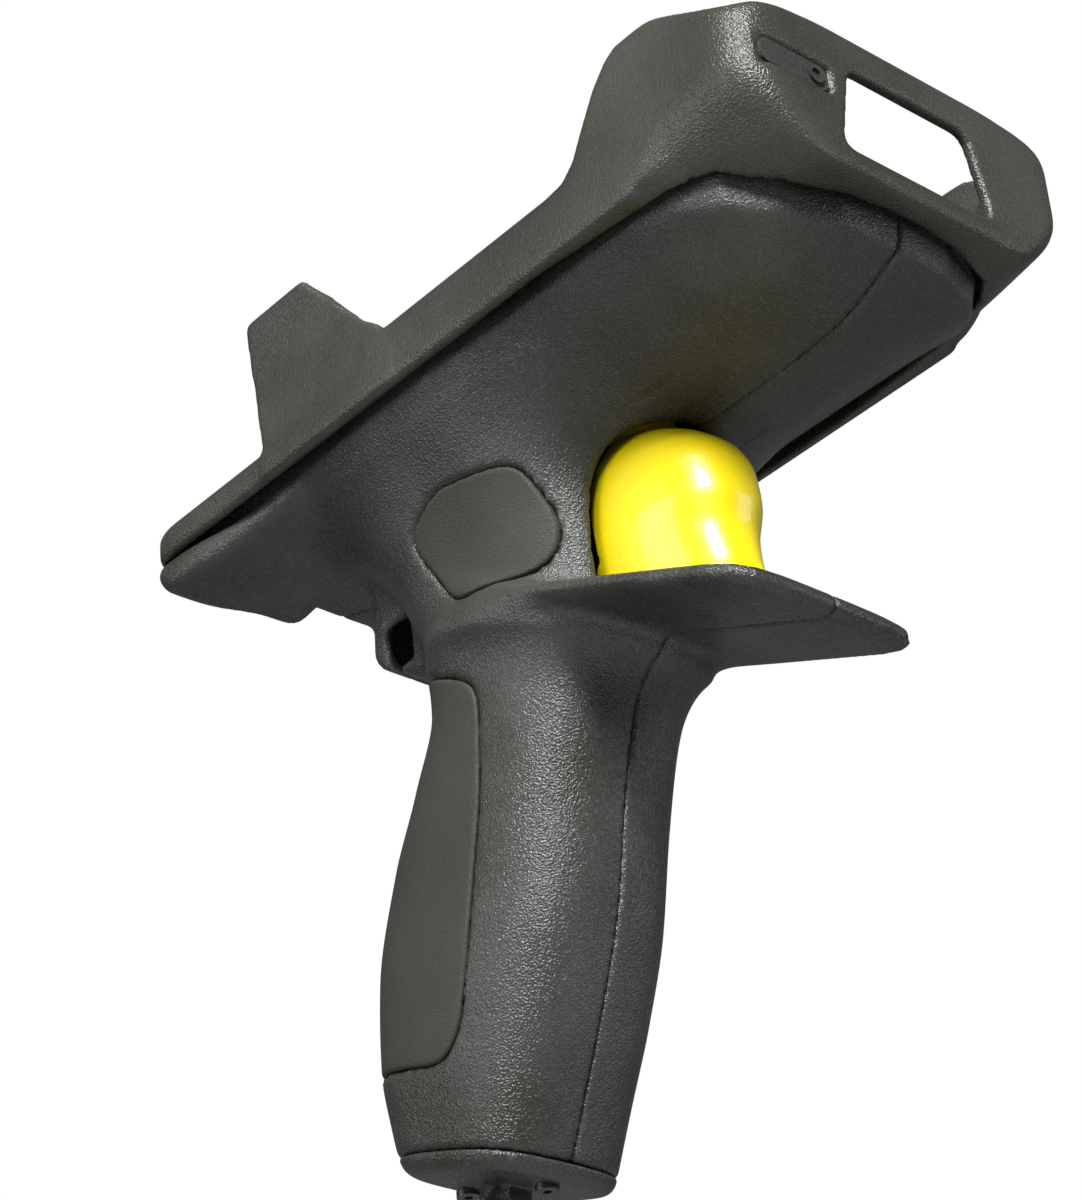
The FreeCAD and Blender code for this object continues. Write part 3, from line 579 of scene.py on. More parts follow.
@dataclass(frozen=True)
class Finish:
    """A surface finish; the fields are its sizes and tones.

    Attributes:
        name: The material's name.
        colour: Main colour, scene-linear.
        second: Colour of the painted glints and of the tone patches.
        roughness: Roughness of the clean surface.
        pitch: Grain spacing in millimetres.
        depth: Strength of the grain.
        coat: Clear-coat weight.
        metallic: 1 for metals.
        wear: Strength of the rubbed edges.
        worn: Colour of a rubbed edge.
        dust: Amount of settled dust.
        rough_swing: How much the roughness changes over the grain.
        specular: Specular level.
    """

    name: str
    colour: Colour
    second: Colour
    roughness: float
    pitch: float
    depth: float
    coat: float = 0.0
    metallic: float = 0.0
    wear: float = 0.25
    worn: Colour = (0.16, 0.16, 0.15)
    dust: float = 0.12
    rough_swing: float = 0.12
    specular: float = 0.5

    def build(self, effects: Effects) -> bpy.types.Material:
        """Make the material.

        Args:
            effects: The shared shader groups.

        Returns:
            The material.
        """
        material = bpy.data.materials.new(self.name)
        material.use_nodes = True
        tree = material.node_tree
        tree.nodes.clear()
        bench = NodeBench(tree)
        shader = bench.add("ShaderNodeBsdfPrincipled")
        output = bench.add("ShaderNodeOutputMaterial")
        tree.links.new(shader.outputs[0], output.inputs["Surface"])
        grain = bench.add("ShaderNodeGroup", {"node_tree": effects.grain}, Pitch=self.pitch)
        drift = bench.add("ShaderNodeGroup", {"node_tree": effects.drift})
        wear = bench.add("ShaderNodeGroup", {"node_tree": effects.wear})
        dust = bench.add("ShaderNodeGroup", {"node_tree": effects.dust}, Amount=self.dust)
        toned = bench.math("MULTIPLY", drift.outputs["Tone"], TONE_SHARE)
        painted_glint_weight = bench.math("MULTIPLY", grain.outputs["Fleck"], PAINTED_GLINT_SHARE)
        rubbed = bench.math("MULTIPLY", wear.outputs["Mask"], self.wear)
        base = self.mix(bench, toned, (*self.colour, 1), (*self.second, 1))
        # Painted glints: crest specks lighten the colour towards the second colour, in place of
        # sparkle from light.
        base = self.mix(bench, painted_glint_weight, base, (*self.second, 1))
        base = self.mix(bench, rubbed, base, (*self.worn, 1))
        base = self.mix(bench, dust.outputs["Mask"], base, DUST_COLOUR)
        tree.links.new(base, shader.inputs["Base Color"])
        swing = bench.math("MULTIPLY", grain.outputs["Fleck"], -self.rough_swing)
        rough = bench.math("ADD", bench.math("ADD", swing, dust.outputs["Mask"]), self.roughness)
        tree.links.new(rough, shader.inputs["Roughness"])
        shader.inputs["Metallic"].default_value = self.metallic
        shader.inputs["Coat Weight"].default_value = self.coat
        shader.inputs["Coat Roughness"].default_value = COAT_ROUGHNESS
        shader.inputs["Specular IOR Level"].default_value = self.specular
        height = grain.outputs["Height"]
        bump = bench.add("ShaderNodeBump", None, Strength=self.depth, Height=height)
        bump.inputs["Distance"].default_value = self.pitch * MM * BUMP_RATIO
        tree.links.new(bump.outputs["Normal"], shader.inputs["Normal"])
        return material

    @staticmethod
    def mix(
        bench: NodeBench, factor: object, first: object, second: object
    ) -> bpy.types.NodeSocket:
        """Blend two colours by a mask.

        Args:
            bench: Where the node goes.
            factor: Mask that brings in the second colour.
            first: First colour.
            second: Second colour.

        Returns:
            The colour output.
        """
        node = bench.add("ShaderNodeMix", {"data_type": "RGBA"})
        for number, value in ((0, factor), (6, first), (7, second)):
            if isinstance(value, bpy.types.NodeSocket):
                bench.tree.links.new(value, node.inputs[number])
            else:
                node.inputs[number].default_value = value
        return node.outputs[2]


class Slot(Enum):
    """The record's material slots with their finishes."""

    shell_plastic = Finish("moulded_shell", linear(35, 36, 29), linear(70, 71, 64), 0.34, 0.42,
                           0.75, specular=0.5)
    handle_plastic = Finish("moulded_handle", linear(31, 32, 26), linear(80, 82, 80), 0.30, 0.42,
                            0.85, specular=0.55)
    grip_rubber = Finish("grip_rubber", linear(44, 45, 39), linear(60, 61, 54), 0.62, 0.36, 0.50,
                         wear=0.1, specular=0.3)
    pad_rubber = Finish("pad_rubber", linear(36, 36, 34), linear(52, 52, 50), 0.82, 0.60, 0.50,
                        wear=0.1, specular=0.3)
    trigger_yellow = Finish("trigger_yellow", linear(222, 200, 6), linear(228, 208, 18), 0.34, 0.90,
                            0.10, coat=0.3, wear=0.08, worn=linear(236, 220, 90), dust=0.03,
                            rough_swing=0.05)
    steel = Finish("drawn_steel", (0.55, 0.55, 0.56), (0.42, 0.42, 0.43), 0.28, 0.25, 0.25,
                   metallic=1.0)
    screw_steel = Finish("blacked_screw", (0.09, 0.09, 0.10), (0.16, 0.16, 0.17), 0.36, 0.30, 0.30,
                         metallic=1.0)
    brass = Finish("turned_brass", (0.66, 0.47, 0.18), (0.52, 0.36, 0.14), 0.32, 0.25, 0.25,
                   metallic=1.0)
    gold_contact = Finish("gold_plate", (0.86, 0.61, 0.25), (0.75, 0.50, 0.2), 0.18, 0.25, 0.12,
                          metallic=1.0)
    switch_plastic = Finish("switch_case", linear(34, 36, 38), linear(48, 50, 52), 0.45, 0.30, 0.35)
    plunger_red = Finish("red_plunger", linear(170, 34, 26), linear(190, 52, 40), 0.35, 0.30, 0.25)
    board_green = Finish("lacquered_board", linear(24, 84, 48), linear(34, 104, 62), 0.32, 0.60,
                         0.25, coat=0.4)
    foam = Finish("seal_foam", linear(40, 40, 42), linear(62, 62, 64), 0.95, 0.45, 1.0, wear=0.0)
    wire_sleeve = Finish("wire_sleeve", linear(150, 30, 28), linear(168, 44, 40), 0.5, 0.5, 0.2)
    bush_plastic = Finish("bush_resin", linear(212, 208, 196), linear(196, 192, 180), 0.48, 0.4,
                          0.2)


@dataclass
class Wardrobe:
    """Builds each slot's material once and dresses pieces with it."""

    effects: Effects
    cuttings: dict[Slot, bpy.types.Material]

    def dress(self, piece: bpy.types.Object, slot: Slot) -> None:
        """Give a piece a slot's material on every one of its surfaces.

        Args:
            piece: The piece.
            slot: Its material slot.
        """
        if slot not in self.cuttings:
            self.cuttings[slot] = slot.value.build(self.effects)
        piece.data.materials.clear()
        piece.data.materials.append(self.cuttings[slot])


def hand_over(
    piece: bpy.types.Object, body: Body, slot: Slot, wardrobe: Wardrobe, *nodes: str
) -> None:
    """Dress a piece, fix it to its body and let it stand for frame nodes.

    Args:
        piece: The new piece.
        body: The body that it rides on.
        slot: Its material slot.
        wardrobe: Where its material comes from.
        *nodes: Frame nodes that it stands for.
    """
    wardrobe.dress(piece, slot)
    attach(piece, body.value)
    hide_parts(*nodes)
    LOG.info("%s: %d faces", piece.name, len(piece.data.polygons))


# ---- handle ------------------------------------------------------------------------------------
@dataclass
class HandleSkin:
    """Outer form of the handle: hull, neck and grip, finger guard and tether block."""

    top_z: float = -3.2
    crown_power: float = 1.95
    crown_half: float = 34.3
    hull_y: Stations = (-74.2, -70.0, -64.0, -55.0, -42.0, -10.0, 30.0, 52.0, 74.0, 90.0, 95.0)
    keel_z: Stations = (-15.6, -17.4, -20.4, -23.2, -24.2, -24.2, -23.6, -20.0, -14.8, -10.4, -8.6)
    foot_z: Stations = (-12.6, -12.2, -11.4, -10.2, -9.2, -9.0, -9.0, -8.6, -8.4, -7.4, -6.6)
    band_top_z: Stations = (-9.4, -8.8, -7.6, -6.5, -5.9, -5.8, -5.8, -5.8, -5.8, -5.6, -5.2)
    band_drop: Stations = (5.6, 5.4, 4.8, 4.2, 3.4, 3.2, 3.2, 2.8, 2.6, 1.8, 1.4)
    band_width: float = 1.3
    nose: Outline = (
        (21.0, 92.8), (29.0, 96.4), (34.6, 96.4), (36.7, 93.4), (36.7, -42.0), (35.6, -53.0),
        (32.6, -62.0), (25.0, -69.4), (13.0, -73.6), (4.0, -74.4),
    )
    post_side: Outline = (
        (56.0, -7.9), (99.2, -7.9), (98.8, -12.4), (94.0, -15.4), (80.0, -14.6), (60.0, -10.2),
    )
    post_plan: Outline = (
        (34.0, 54.0), (36.9, 62.0), (41.5, 88.0), (41.6, 99.2), (31.0, 99.2), (22.0, 93.2),
        (9.0, 92.8), (12.0, 70.0), (24.0, 54.0),
    )
    grip_z: Stations = (
        -168.0, -150.0, -138.0, -125.0, -108.0, -89.0, -75.0, -60.0, -48.0, -36.0, -24.0, -12.0,
    )
    grip_front: Stations = (39.0, 31.0, 25.6, 19.8, 13.6, 9.5, 5.5, -0.5, -2.5, -4.0, -7.0, -12.0)
    grip_rear: Stations = (60.0, 64.8, 68.4, 70.4, 69.4, 63.2, 56.0, 49.5, 49.5, 53.0, 58.0, 62.0)
    grip_half: Stations = (15.0, 16.8, 18.0, 19.3, 20.0, 20.0, 19.7, 19.8, 20.6, 22.8, 27.0, 32.0)
    grip_power: float = 2.9
    grip_scale: float = 20.0
    guard_tip: Stations = (-46.5, -79.0)
    guard_root: Stations = (27.0, -48.0)
    guard_thickness: float = 4.4
    guard_plan: Outline = (
        (11.0, 0.0), (18.5, 0.9), (22.6, 4.6), (24.0, 11.0), (24.4, 40.0), (24.4, 60.0),
        (22.6, 74.0), (19.0, 84.0),
    )
    tether: Outline = ((44.0, -20.0), (69.5, -14.0), (70.0, -34.5), (58.0, -42.0), (46.0, -45.0))
    neck_fillet: float = 12.0
    guard_fillet: float = 15.0
    lip_fillet: float = 5.0
    tether_half: float = 9.0
    tether_fillet: float = 4.0

    def hull(self, g: Lattice) -> Array:
        """Hull below the tray, with a chamfer band round its edge and a crowned keel.

        Args:
            g: The samples.

        Returns:
            The hull's field.
        """
        inset = -from_outline(both_sides(self.nose), g.x, g.y)
        crown = np.minimum(np.abs(g.x) / self.crown_half, 1.4) ** self.crown_power
        keel = glide(g.y, self.hull_y, self.keel_z)
        foot = glide(g.y, self.hull_y, self.foot_z)
        under = (keel + (foot - keel) * crown - g.z) * 0.93
        top = glide(g.y, self.hull_y, self.band_top_z)
        drop = glide(g.y, self.hull_y, self.band_drop)
        length = np.sqrt(self.band_width ** 2 + drop ** 2)
        band = (-drop * inset - self.band_width * (g.z - top)) / length
        shape = meet(meet(under, band, 0.9), -inset, 1.0)
        shape = join(shape, self.rear_post(g), 3.0)
        return np.maximum(shape, g.z - self.top_z)

    def rear_post(self, g: Lattice) -> Array:
        """Foot under each rear corner, which carries the tray's outline down.

        Args:
            g: The samples.

        Returns:
            The feet's field.
        """
        side = from_outline(eased(self.post_side, 3.0), g.y, g.z)
        plan = from_outline(eased(self.post_plan, 5.0), np.abs(g.x), g.y)
        return meet(plan, side, 3.0)

    def stick(self, g: Lattice) -> Array:
        """Neck and grip as one squared-oval column.

        Args:
            g: The samples.

        Returns:
            The column's field.
        """
        front = glide(g.z, self.grip_z, self.grip_front)
        rear = glide(g.z, self.grip_z, self.grip_rear)
        half = glide(g.z, self.grip_z, self.grip_half)
        across = np.abs(g.x / half) ** self.grip_power
        depth = np.abs((g.y - (front + rear) / 2.0) / ((rear - front) / 2.0)) ** self.grip_power
        ratio = (across + depth) ** (1.0 / self.grip_power) - 1.0
        column = g.true_distance(ratio * self.grip_scale)
        return np.maximum(column, g.z + 8.0)

    def guard_frame(self, g: Lattice) -> tuple[Array, Array]:
        """Coordinates along the guard from its tip and square to it from its lower face.

        Args:
            g: The samples.

        Returns:
            The two coordinates.
        """
        run_y = self.guard_root[0] - self.guard_tip[0]
        run_z = self.guard_root[1] - self.guard_tip[1]
        length = math.hypot(run_y, run_z)
        dy = g.y - self.guard_tip[0]
        dz = g.z - self.guard_tip[1]
        return (dy * run_y + dz * run_z) / length, (dz * run_y - dy * run_z) / length

    def guard(self, g: Lattice) -> Array:
        """Finger guard: a tilted plate, thin at its rim and thicker along the middle.

        Args:
            g: The samples.

        Returns:
            The guard's field.
        """
        along, height = self.guard_frame(g)
        plan = from_outline(both_sides(self.guard_plan), g.x, along)
        dish = 0.9 * np.clip((np.abs(g.x) / 24.0) ** 2, 0.0, 1.0)
        plate = between(height, 0.0, self.guard_thickness) + dish * 0.4
        return meet(plate, plan, 3.4)

    def tether_block(self, g: Lattice) -> Array:
        """Block behind the neck."""
        side_view = from_outline(eased(self.tether, 3.0), g.y, g.z)
        return meet(side_view, np.abs(g.x) - self.tether_half, 3.0)

    def field(self, g: Lattice) -> Array:
        """Whole outer form.

        Args:
            g: The samples.

        Returns:
            The outer field.
        """
        body = join(self.hull(g), self.stick(g), self.neck_fillet)
        _, height = self.guard_frame(g)
        under = np.clip((self.guard_thickness * 0.6 - height) / 6.0, 0.0, 1.0)
        fillet = self.lip_fillet + (self.guard_fillet - self.lip_fillet) * under
        body = join(body, self.guard(g), fillet)
        body = join(body, self.tether_block(g), self.tether_fillet)
        return np.maximum(body, g.z - self.top_z)


@dataclass
class FootPlane:
    """Tilted plane at the foot of the grip."""

    front_y: float = 31.5
    front_z: float = -151.4
    tilt: float = 16.0

    def below(self, g: Lattice, drop: float) -> Array:
        """Field that is inside below the plane, lowered by a drop.

        Args:
            g: The samples.
            drop: How far the plane is lowered, in millimetres.

        Returns:
            The field.
        """
        angle = math.radians(self.tilt)
        height = (g.z - self.front_z) * math.cos(angle) - (g.y - self.front_y) * math.sin(angle)
        return height + drop


@dataclass
class Handle:
    """Both halves of the clamshell with their inlaid pads and the cap on the foot."""

    skin: HandleSkin
    foot: FootPlane
    lever: "Trigger"
    pitch: float = 0.93
    trigger_gap: float = 0.9
    hub_room_z: float = -20.4
    pad_pitch: float = 0.5
    wall: float = 2.2
    pad_depth: float = 1.3
    pad_gap: float = 0.34
    slot_half: float = 12.6
    slot: Stations = (-22.8, 16.0, -10.6)
    pin_room: float = 3.2
    grip_pad: Outline = (
        (26.2, -67.0), (27.6, -86.0), (34.0, -115.0), (38.4, -128.0), (44.0, -132.6),
        (84.0, -121.2), (84.0, -35.0), (41.0, -54.0), (31.0, -59.4), (27.4, -62.6),
    )
    neck_pad: Outline = (
        (30.0, -43.4), (36.4, -31.0), (36.0, -27.0), (26.0, -23.0), (9.0, -25.4), (5.4, -27.6),
        (2.0, -39.5), (4.4, -46.0), (9.0, -48.0), (26.0, -45.6),
    )
    screws: Outline = ((52.0, -26.0), (20.0, -66.0), (21.5, -98.0), (50.0, -139.0))
    half_box: tuple[Point, Point] = ((-2.2, -77.6, -158.0), (43.4, 101.0, -0.8))
    grip_box: tuple[Point, Point] = ((-1.0, 22.0, -136.0), (23.0, 74.0, -34.0))
    neck_box: tuple[Point, Point] = ((4.0, -1.0, -51.0), (40.0, 40.0, -20.0))
    parting_x: float = -0.2
    foot_wall: float = 1.6
    screw_boss: float = 3.4
    hinge_boss: float = 5.0
    hinge_boss_end: float = 17.6
    pin_room_end: float = 15.8
    boss_skin: float = 0.4
    swing: Stations = (0.0, 4.0, 8.0)
    shank_radius: float = 1.3
    head_radius: float = 2.7
    head_depth: float = 1.6
    insert_radius: float = 1.9
    insert_end: float = 5.2
    contact_room: float = 2.4
    cap_thickness: float = 3.4
    cap_screws: Stations = (7.5, 29.0)
    cap_screw_radius: float = 1.35
    lug_radius: float = 4.6
    lug_half: float = 3.0
    eye_radius: float = 2.4

    def screw_heads(self, node: bpy.types.Object) -> dict[tuple[float, float], float]:
        """Find how far out each screw of the clamshell reaches.

        Args:
            node: The frame's node with every screw.

        Returns:
            Highest x by the screw's (y, z).
        """
        points = np.array([v.co for v in node.data.vertices]) / MM
        found = {}
        for y, z in self.screws:
            near = np.hypot(points[:, 1] - y, points[:, 2] - z) < 3.0
            found[(y, z)] = float(points[near, 0].max())
        return found

    @staticmethod
    def pivot() -> tuple[float, float]:
        """(y, z) of the trigger's hinge line."""
        pin = Place("trigger_pin").middle
        return pin.y, pin.z

    def guard_top(self, y: Array) -> Array:
        """Height of the guard's upper face.

        Args:
            y: Where along the handle.

        Returns:
            Its height there.
        """
        skin = self.skin
        tip_y, tip_z = skin.guard_tip
        slope = (skin.guard_root[1] - tip_z) / (skin.guard_root[0] - tip_y)
        return tip_z + skin.guard_thickness * math.hypot(1.0, slope) + slope * (y - tip_y)

    def trigger_slot(self, g: Lattice) -> Array:
        """Room that the trigger swings in: its form at a few angles, a gap, and space for its hub.

        Args:
            g: The samples.

        Returns:
            The room's field.
        """
        y0, y1, z1 = self.slot
        swept = self.lever.lobe(g, self.swing[0])
        for pull in self.swing[1:]:
            swept = np.minimum(swept, self.lever.lobe(g, pull))
        swept = np.maximum(swept - self.trigger_gap, self.guard_top(g.y) + 0.1 - g.z)
        inside = g.slab((-self.slot_half, self.slot_half), (y0, y1), (self.hub_room_z, z1))
        return join(np.maximum(swept, g.z - z1), inside, 1.0)

    def half(self, side: Side, frame: dict) -> bpy.types.Object:
        """Build one half as a hollow shell.

        Args:
            side: Which half.
            frame: The loaded frame.

        Returns:
            The new piece.
        """
        g = Lattice(*self.half_box, self.pitch)
        outer = self.skin.field(g)
        shell = meet(outer, -self.foot.below(g, 0.0), 0.8)
        room = np.maximum(outer + self.wall, -self.foot.below(g, -self.foot_wall))
        shell = np.maximum(shell, -room)
        for y, z in self.screws:
            boss = g.rod("x", self.screw_boss, (y, z), -1.0, 40.0)
            shell = np.minimum(shell, np.maximum(boss, outer + self.boss_skin))
        pivot = self.pivot()
        boss = g.rod("x", self.hinge_boss, pivot, self.slot_half, self.hinge_boss_end)
        shell = np.minimum(shell, np.maximum(boss, outer + self.boss_skin))
        shell = carve(shell, self.trigger_slot(g), 1.8)
        shell = carve(shell, g.slab((-5.0, self.slot_half), (-25.2, -15.0), (-21.4, -10.6)), 0.4)
        shell = np.maximum(shell, -g.rod("x", self.pin_room, pivot, -3.0, self.pin_room_end))
        block = Place("contact_block")
        along = (block.low.y - self.contact_room, block.high.y + self.contact_room)
        shell = np.maximum(shell, -g.slab((-5.0, 18.0), along, (-7.2, 0.0)))
        tether_slot = g.slab((-9.0, 30.0), (57.0, 64.5), (-38.4, -28.0))
        shell = carve(shell, meet(tether_slot, g.x - 30.0, 1.0), 1.2)
        shell = self.screw_holes(g, shell, side, frame)
        for outline in (self.grip_pad, self.neck_pad):
            edge = from_outline(eased(outline, 4.0), g.y, g.z)
            pocket = np.maximum(edge, -(outer + self.pad_depth))
            shell = carve(shell, np.maximum(pocket, 1.0 - g.x), 0.5)
        shell = meet(shell, self.parting_x - g.x, 0.6)
        piece = g.mesh(side.word + "_handle_moulding", shell)
        self.mirror(piece, side)
        return piece

    def screw_holes(self, g: Lattice, shell: Array, side: Side, frame: dict) -> Array:
        """Sink the clamshell screws' heads on the right and clear their shanks on the left.

        Args:
            g: The samples.
            shell: The shell so far.
            side: Which half.
            frame: The loaded frame.

        Returns:
            The shell with its holes.
        """
        heads = self.screw_heads(frame["nodes"]["clamshell_screws"])
        for (y, z), reach in heads.items():
            if side is Side.RIGHT:
                shell = np.maximum(shell, -g.rod("x", self.shank_radius, (y, z), -3.0, 34.0))
                head = g.rod("x", self.head_radius, (y, z), reach - self.head_depth, 60.0)
                shell = carve(shell, head, 0.5)
            else:
                insert = g.rod("x", self.insert_radius, (y, z), -3.0, self.insert_end)
                shell = np.maximum(shell, -insert)
        return shell

    @staticmethod
    def mirror(piece: bpy.types.Object, side: Side) -> None:
        """Turn a right-hand mesh into a left-hand one when that is the side.

        Args:
            piece: The piece.
            side: Which half.
        """
        if side is Side.LEFT:
            piece.data.transform(Matrix.Scale(-1.0, 4, Vector((1.0, 0.0, 0.0))))
            piece.data.flip_normals()

    def pad(
        self, side: Side, name: str, outline: Outline, low: Point, high: Point
    ) -> bpy.types.Object:
        """Build a rubber pad that lies flush in its pocket.

        Args:
            side: Which half it sits in.
            name: The piece's name after its side.
            outline: Its pocket's side view.
            low: Lowest corner of the block that holds it.
            high: Highest corner of that block.

        Returns:
            The new piece.
        """
        g = Lattice(low, high, self.pad_pitch)
        outer = self.skin.field(g)
        edge = from_outline(eased(outline, 4.0), g.y, g.z) + self.pad_gap
        sheet = np.maximum(-(outer + self.pad_depth - 0.1), 1.0 - g.x)
        pad = meet(np.maximum(sheet, edge), outer + 0.02, 0.7)
        if name == "grip_rubber":
            pad = np.maximum(pad, 0.2 - g.x)
        piece = g.mesh(side.word + "_" + name, pad)
        self.mirror(piece, side)
        return piece

    def cap(self, frame: dict) -> bpy.types.Object:
        """Build the cap on the foot with its lanyard lug.

        Args:
            frame: The loaded frame.

        Returns:
            The new piece.
        """
        node = Place("butt_cap")
        eye = next(m for m in frame["record"]["mounts"] if m["name"] == "lanyard_eye")
        eye_y, eye_z = (c / MM for c in eye["pos_m"][1:])
        low = (node.low.x - 1, node.low.y - 1, node.low.z - 1)
        high = (node.high.x + 1, node.high.y + 1, node.high.z + 2)
        g = Lattice(low, high, FINE_PITCH)
        outer = self.skin.field(g)
        upper = meet(outer, self.foot.below(g, 0.15), 0.6)
        plate = meet(upper, -self.foot.below(g, self.cap_thickness), 3.0)
        lug = g.rod("x", self.lug_radius, (eye_y, eye_z), -self.lug_half, self.lug_half)
        lug = np.maximum(lug, self.foot.below(g, 0.3))
        cap = join(plate, meet(lug, np.abs(g.x) - self.lug_half, 1.0), 1.2)
        cap = carve(cap, g.rod("x", self.eye_radius, (eye_y, eye_z), -3.3, 3.3), 0.8)
        for step in self.cap_screws:
            centre = (0.0, self.foot.front_y + step)
            cap = np.maximum(cap, -g.rod("z", self.cap_screw_radius, centre, -200.0, -100.0))
        return g.mesh("grip_foot_cap", np.maximum(cap, node.block(g)))

    def make(self, frame: dict, wardrobe: Wardrobe) -> None:
        """Build and hand over every piece of the handle.

        Args:
            frame: The loaded frame.
            wardrobe: Where the materials come from.
        """
        for side in Side:
            half = self.half(side, frame)
            hand_over(half, Body.HANDLE, Slot.handle_plastic, wardrobe, side.word + "_handle_half")
            grip = self.pad(side, "grip_rubber", self.grip_pad, *self.grip_box)
            hand_over(grip, Body.HANDLE, Slot.grip_rubber, wardrobe, side.word + "_grip_pad")
            neck = self.pad(side, "neck_rubber", self.neck_pad, *self.neck_box)
            hand_over(neck, Body.HANDLE, Slot.grip_rubber, wardrobe, side.word + "_side_pad")
        hand_over(self.cap(frame), Body.HANDLE, Slot.handle_plastic, wardrobe, "butt_cap")


# ---- trigger -----------------------------------------------------------------------------------
@dataclass
class Trigger:
    """Glossy finger lever with its hub."""

    z: Stations = (-67.0, -63.0, -57.0, -50.0, -43.0, -36.0, -31.0, -27.0, -24.0, -21.0, -13.4)
    front: Stations = (-34.5, -31.5, -28.6, -27.8, -29.0, -28.2, -26.0, -22.0, -17.6, -12.6, -10.0)
    rear: Stations = (4.0, 6.0, 7.0, 7.5, 8.0, 8.0, 8.0, 8.0, 8.0, 7.5, 4.0)
    half: Stations = (8.4, 8.8, 9.6, 10.7, 11.7, 12.0, 11.6, 10.5, 9.0, 7.2, 6.0)
    power: float = 2.25
    scale: float = 12.0
    foot: Outline = ((-50.0, -68.8), (20.0, -46.4), (20.0, -90.0), (-50.0, -90.0))
    head: Outline = ((-10.6, -13.4), (20.0, -24.0), (20.0, 0.0), (-10.6, 0.0))
    hub_radius: float = 4.0
    pin_radius: float = 1.6
    hub_half: float = 9.0
    spring_room: float = 3.5

    def lobe(self, g: Lattice, pull: float) -> Array:
        """Finger lobe as a stack of squared ovals.

        Args:
            g: Where to sample.
            pull: How far it is pulled, in degrees.

        Returns:
            The lobe's field.
        """
        pin = Place("trigger_pin").middle
        cos = math.cos(math.radians(pull))
        sin = math.sin(math.radians(pull))
        y = pin.y + (g.y - pin.y) * cos + (g.z - pin.z) * sin
        z = pin.z - (g.y - pin.y) * sin + (g.z - pin.z) * cos
        front = glide(z, self.z, self.front)
        rear = glide(z, self.z, self.rear)
        half = glide(z, self.z, self.half)
        across = np.abs(g.x / half) ** self.power
        depth = np.abs((y - (front + rear) / 2.0) / ((rear - front) / 2.0)) ** self.power
        ratio = (across + depth) ** (1.0 / self.power) - 1.0
        return g.true_distance(ratio * self.scale)

    def make(self, wardrobe: Wardrobe) -> None:
        """Build the trigger and hand it over.

        Args:
            wardrobe: Where the materials come from.
        """
        node = Place("trigger")
        low = [c - 1.0 for c in node.low]
        high = [c + 1.0 for c in node.high]
        g = Lattice(low, high, FINE_PITCH)
        pin = Place("trigger_pin").middle
        lever = self.lobe(g, 0.0)
        lever = meet(lever, -from_outline(self.foot, g.y, g.z), 1.4)
        lever = np.maximum(lever, -from_outline(self.head, g.y, g.z))
        lever = np.maximum(lever, g.z - node.high.z)
        hub = g.rod("x", self.hub_radius, (pin.y, pin.z), -self.hub_half, self.hub_half)
        lever = join(lever, hub, 1.0)
        spring = g.slab((-self.spring_room, self.spring_room), (-27.0, -15.4), (-20.6, -5.0))
        lever = carve(lever, spring, 0.5)
        hollow = g.slab((-self.hub_half, self.hub_half), (-2.0, 20.0), (-46.0, -19.0))
        lever = carve(lever, hollow, 0.6)
        lever = np.maximum(lever, -g.rod("x", self.pin_radius, (pin.y, pin.z), -20.0, 20.0))
        piece = g.mesh("finger_lever", np.maximum(lever, node.block(g)))
        hand_over(piece, Body.TRIGGER, Slot.trigger_yellow, wardrobe, "trigger")


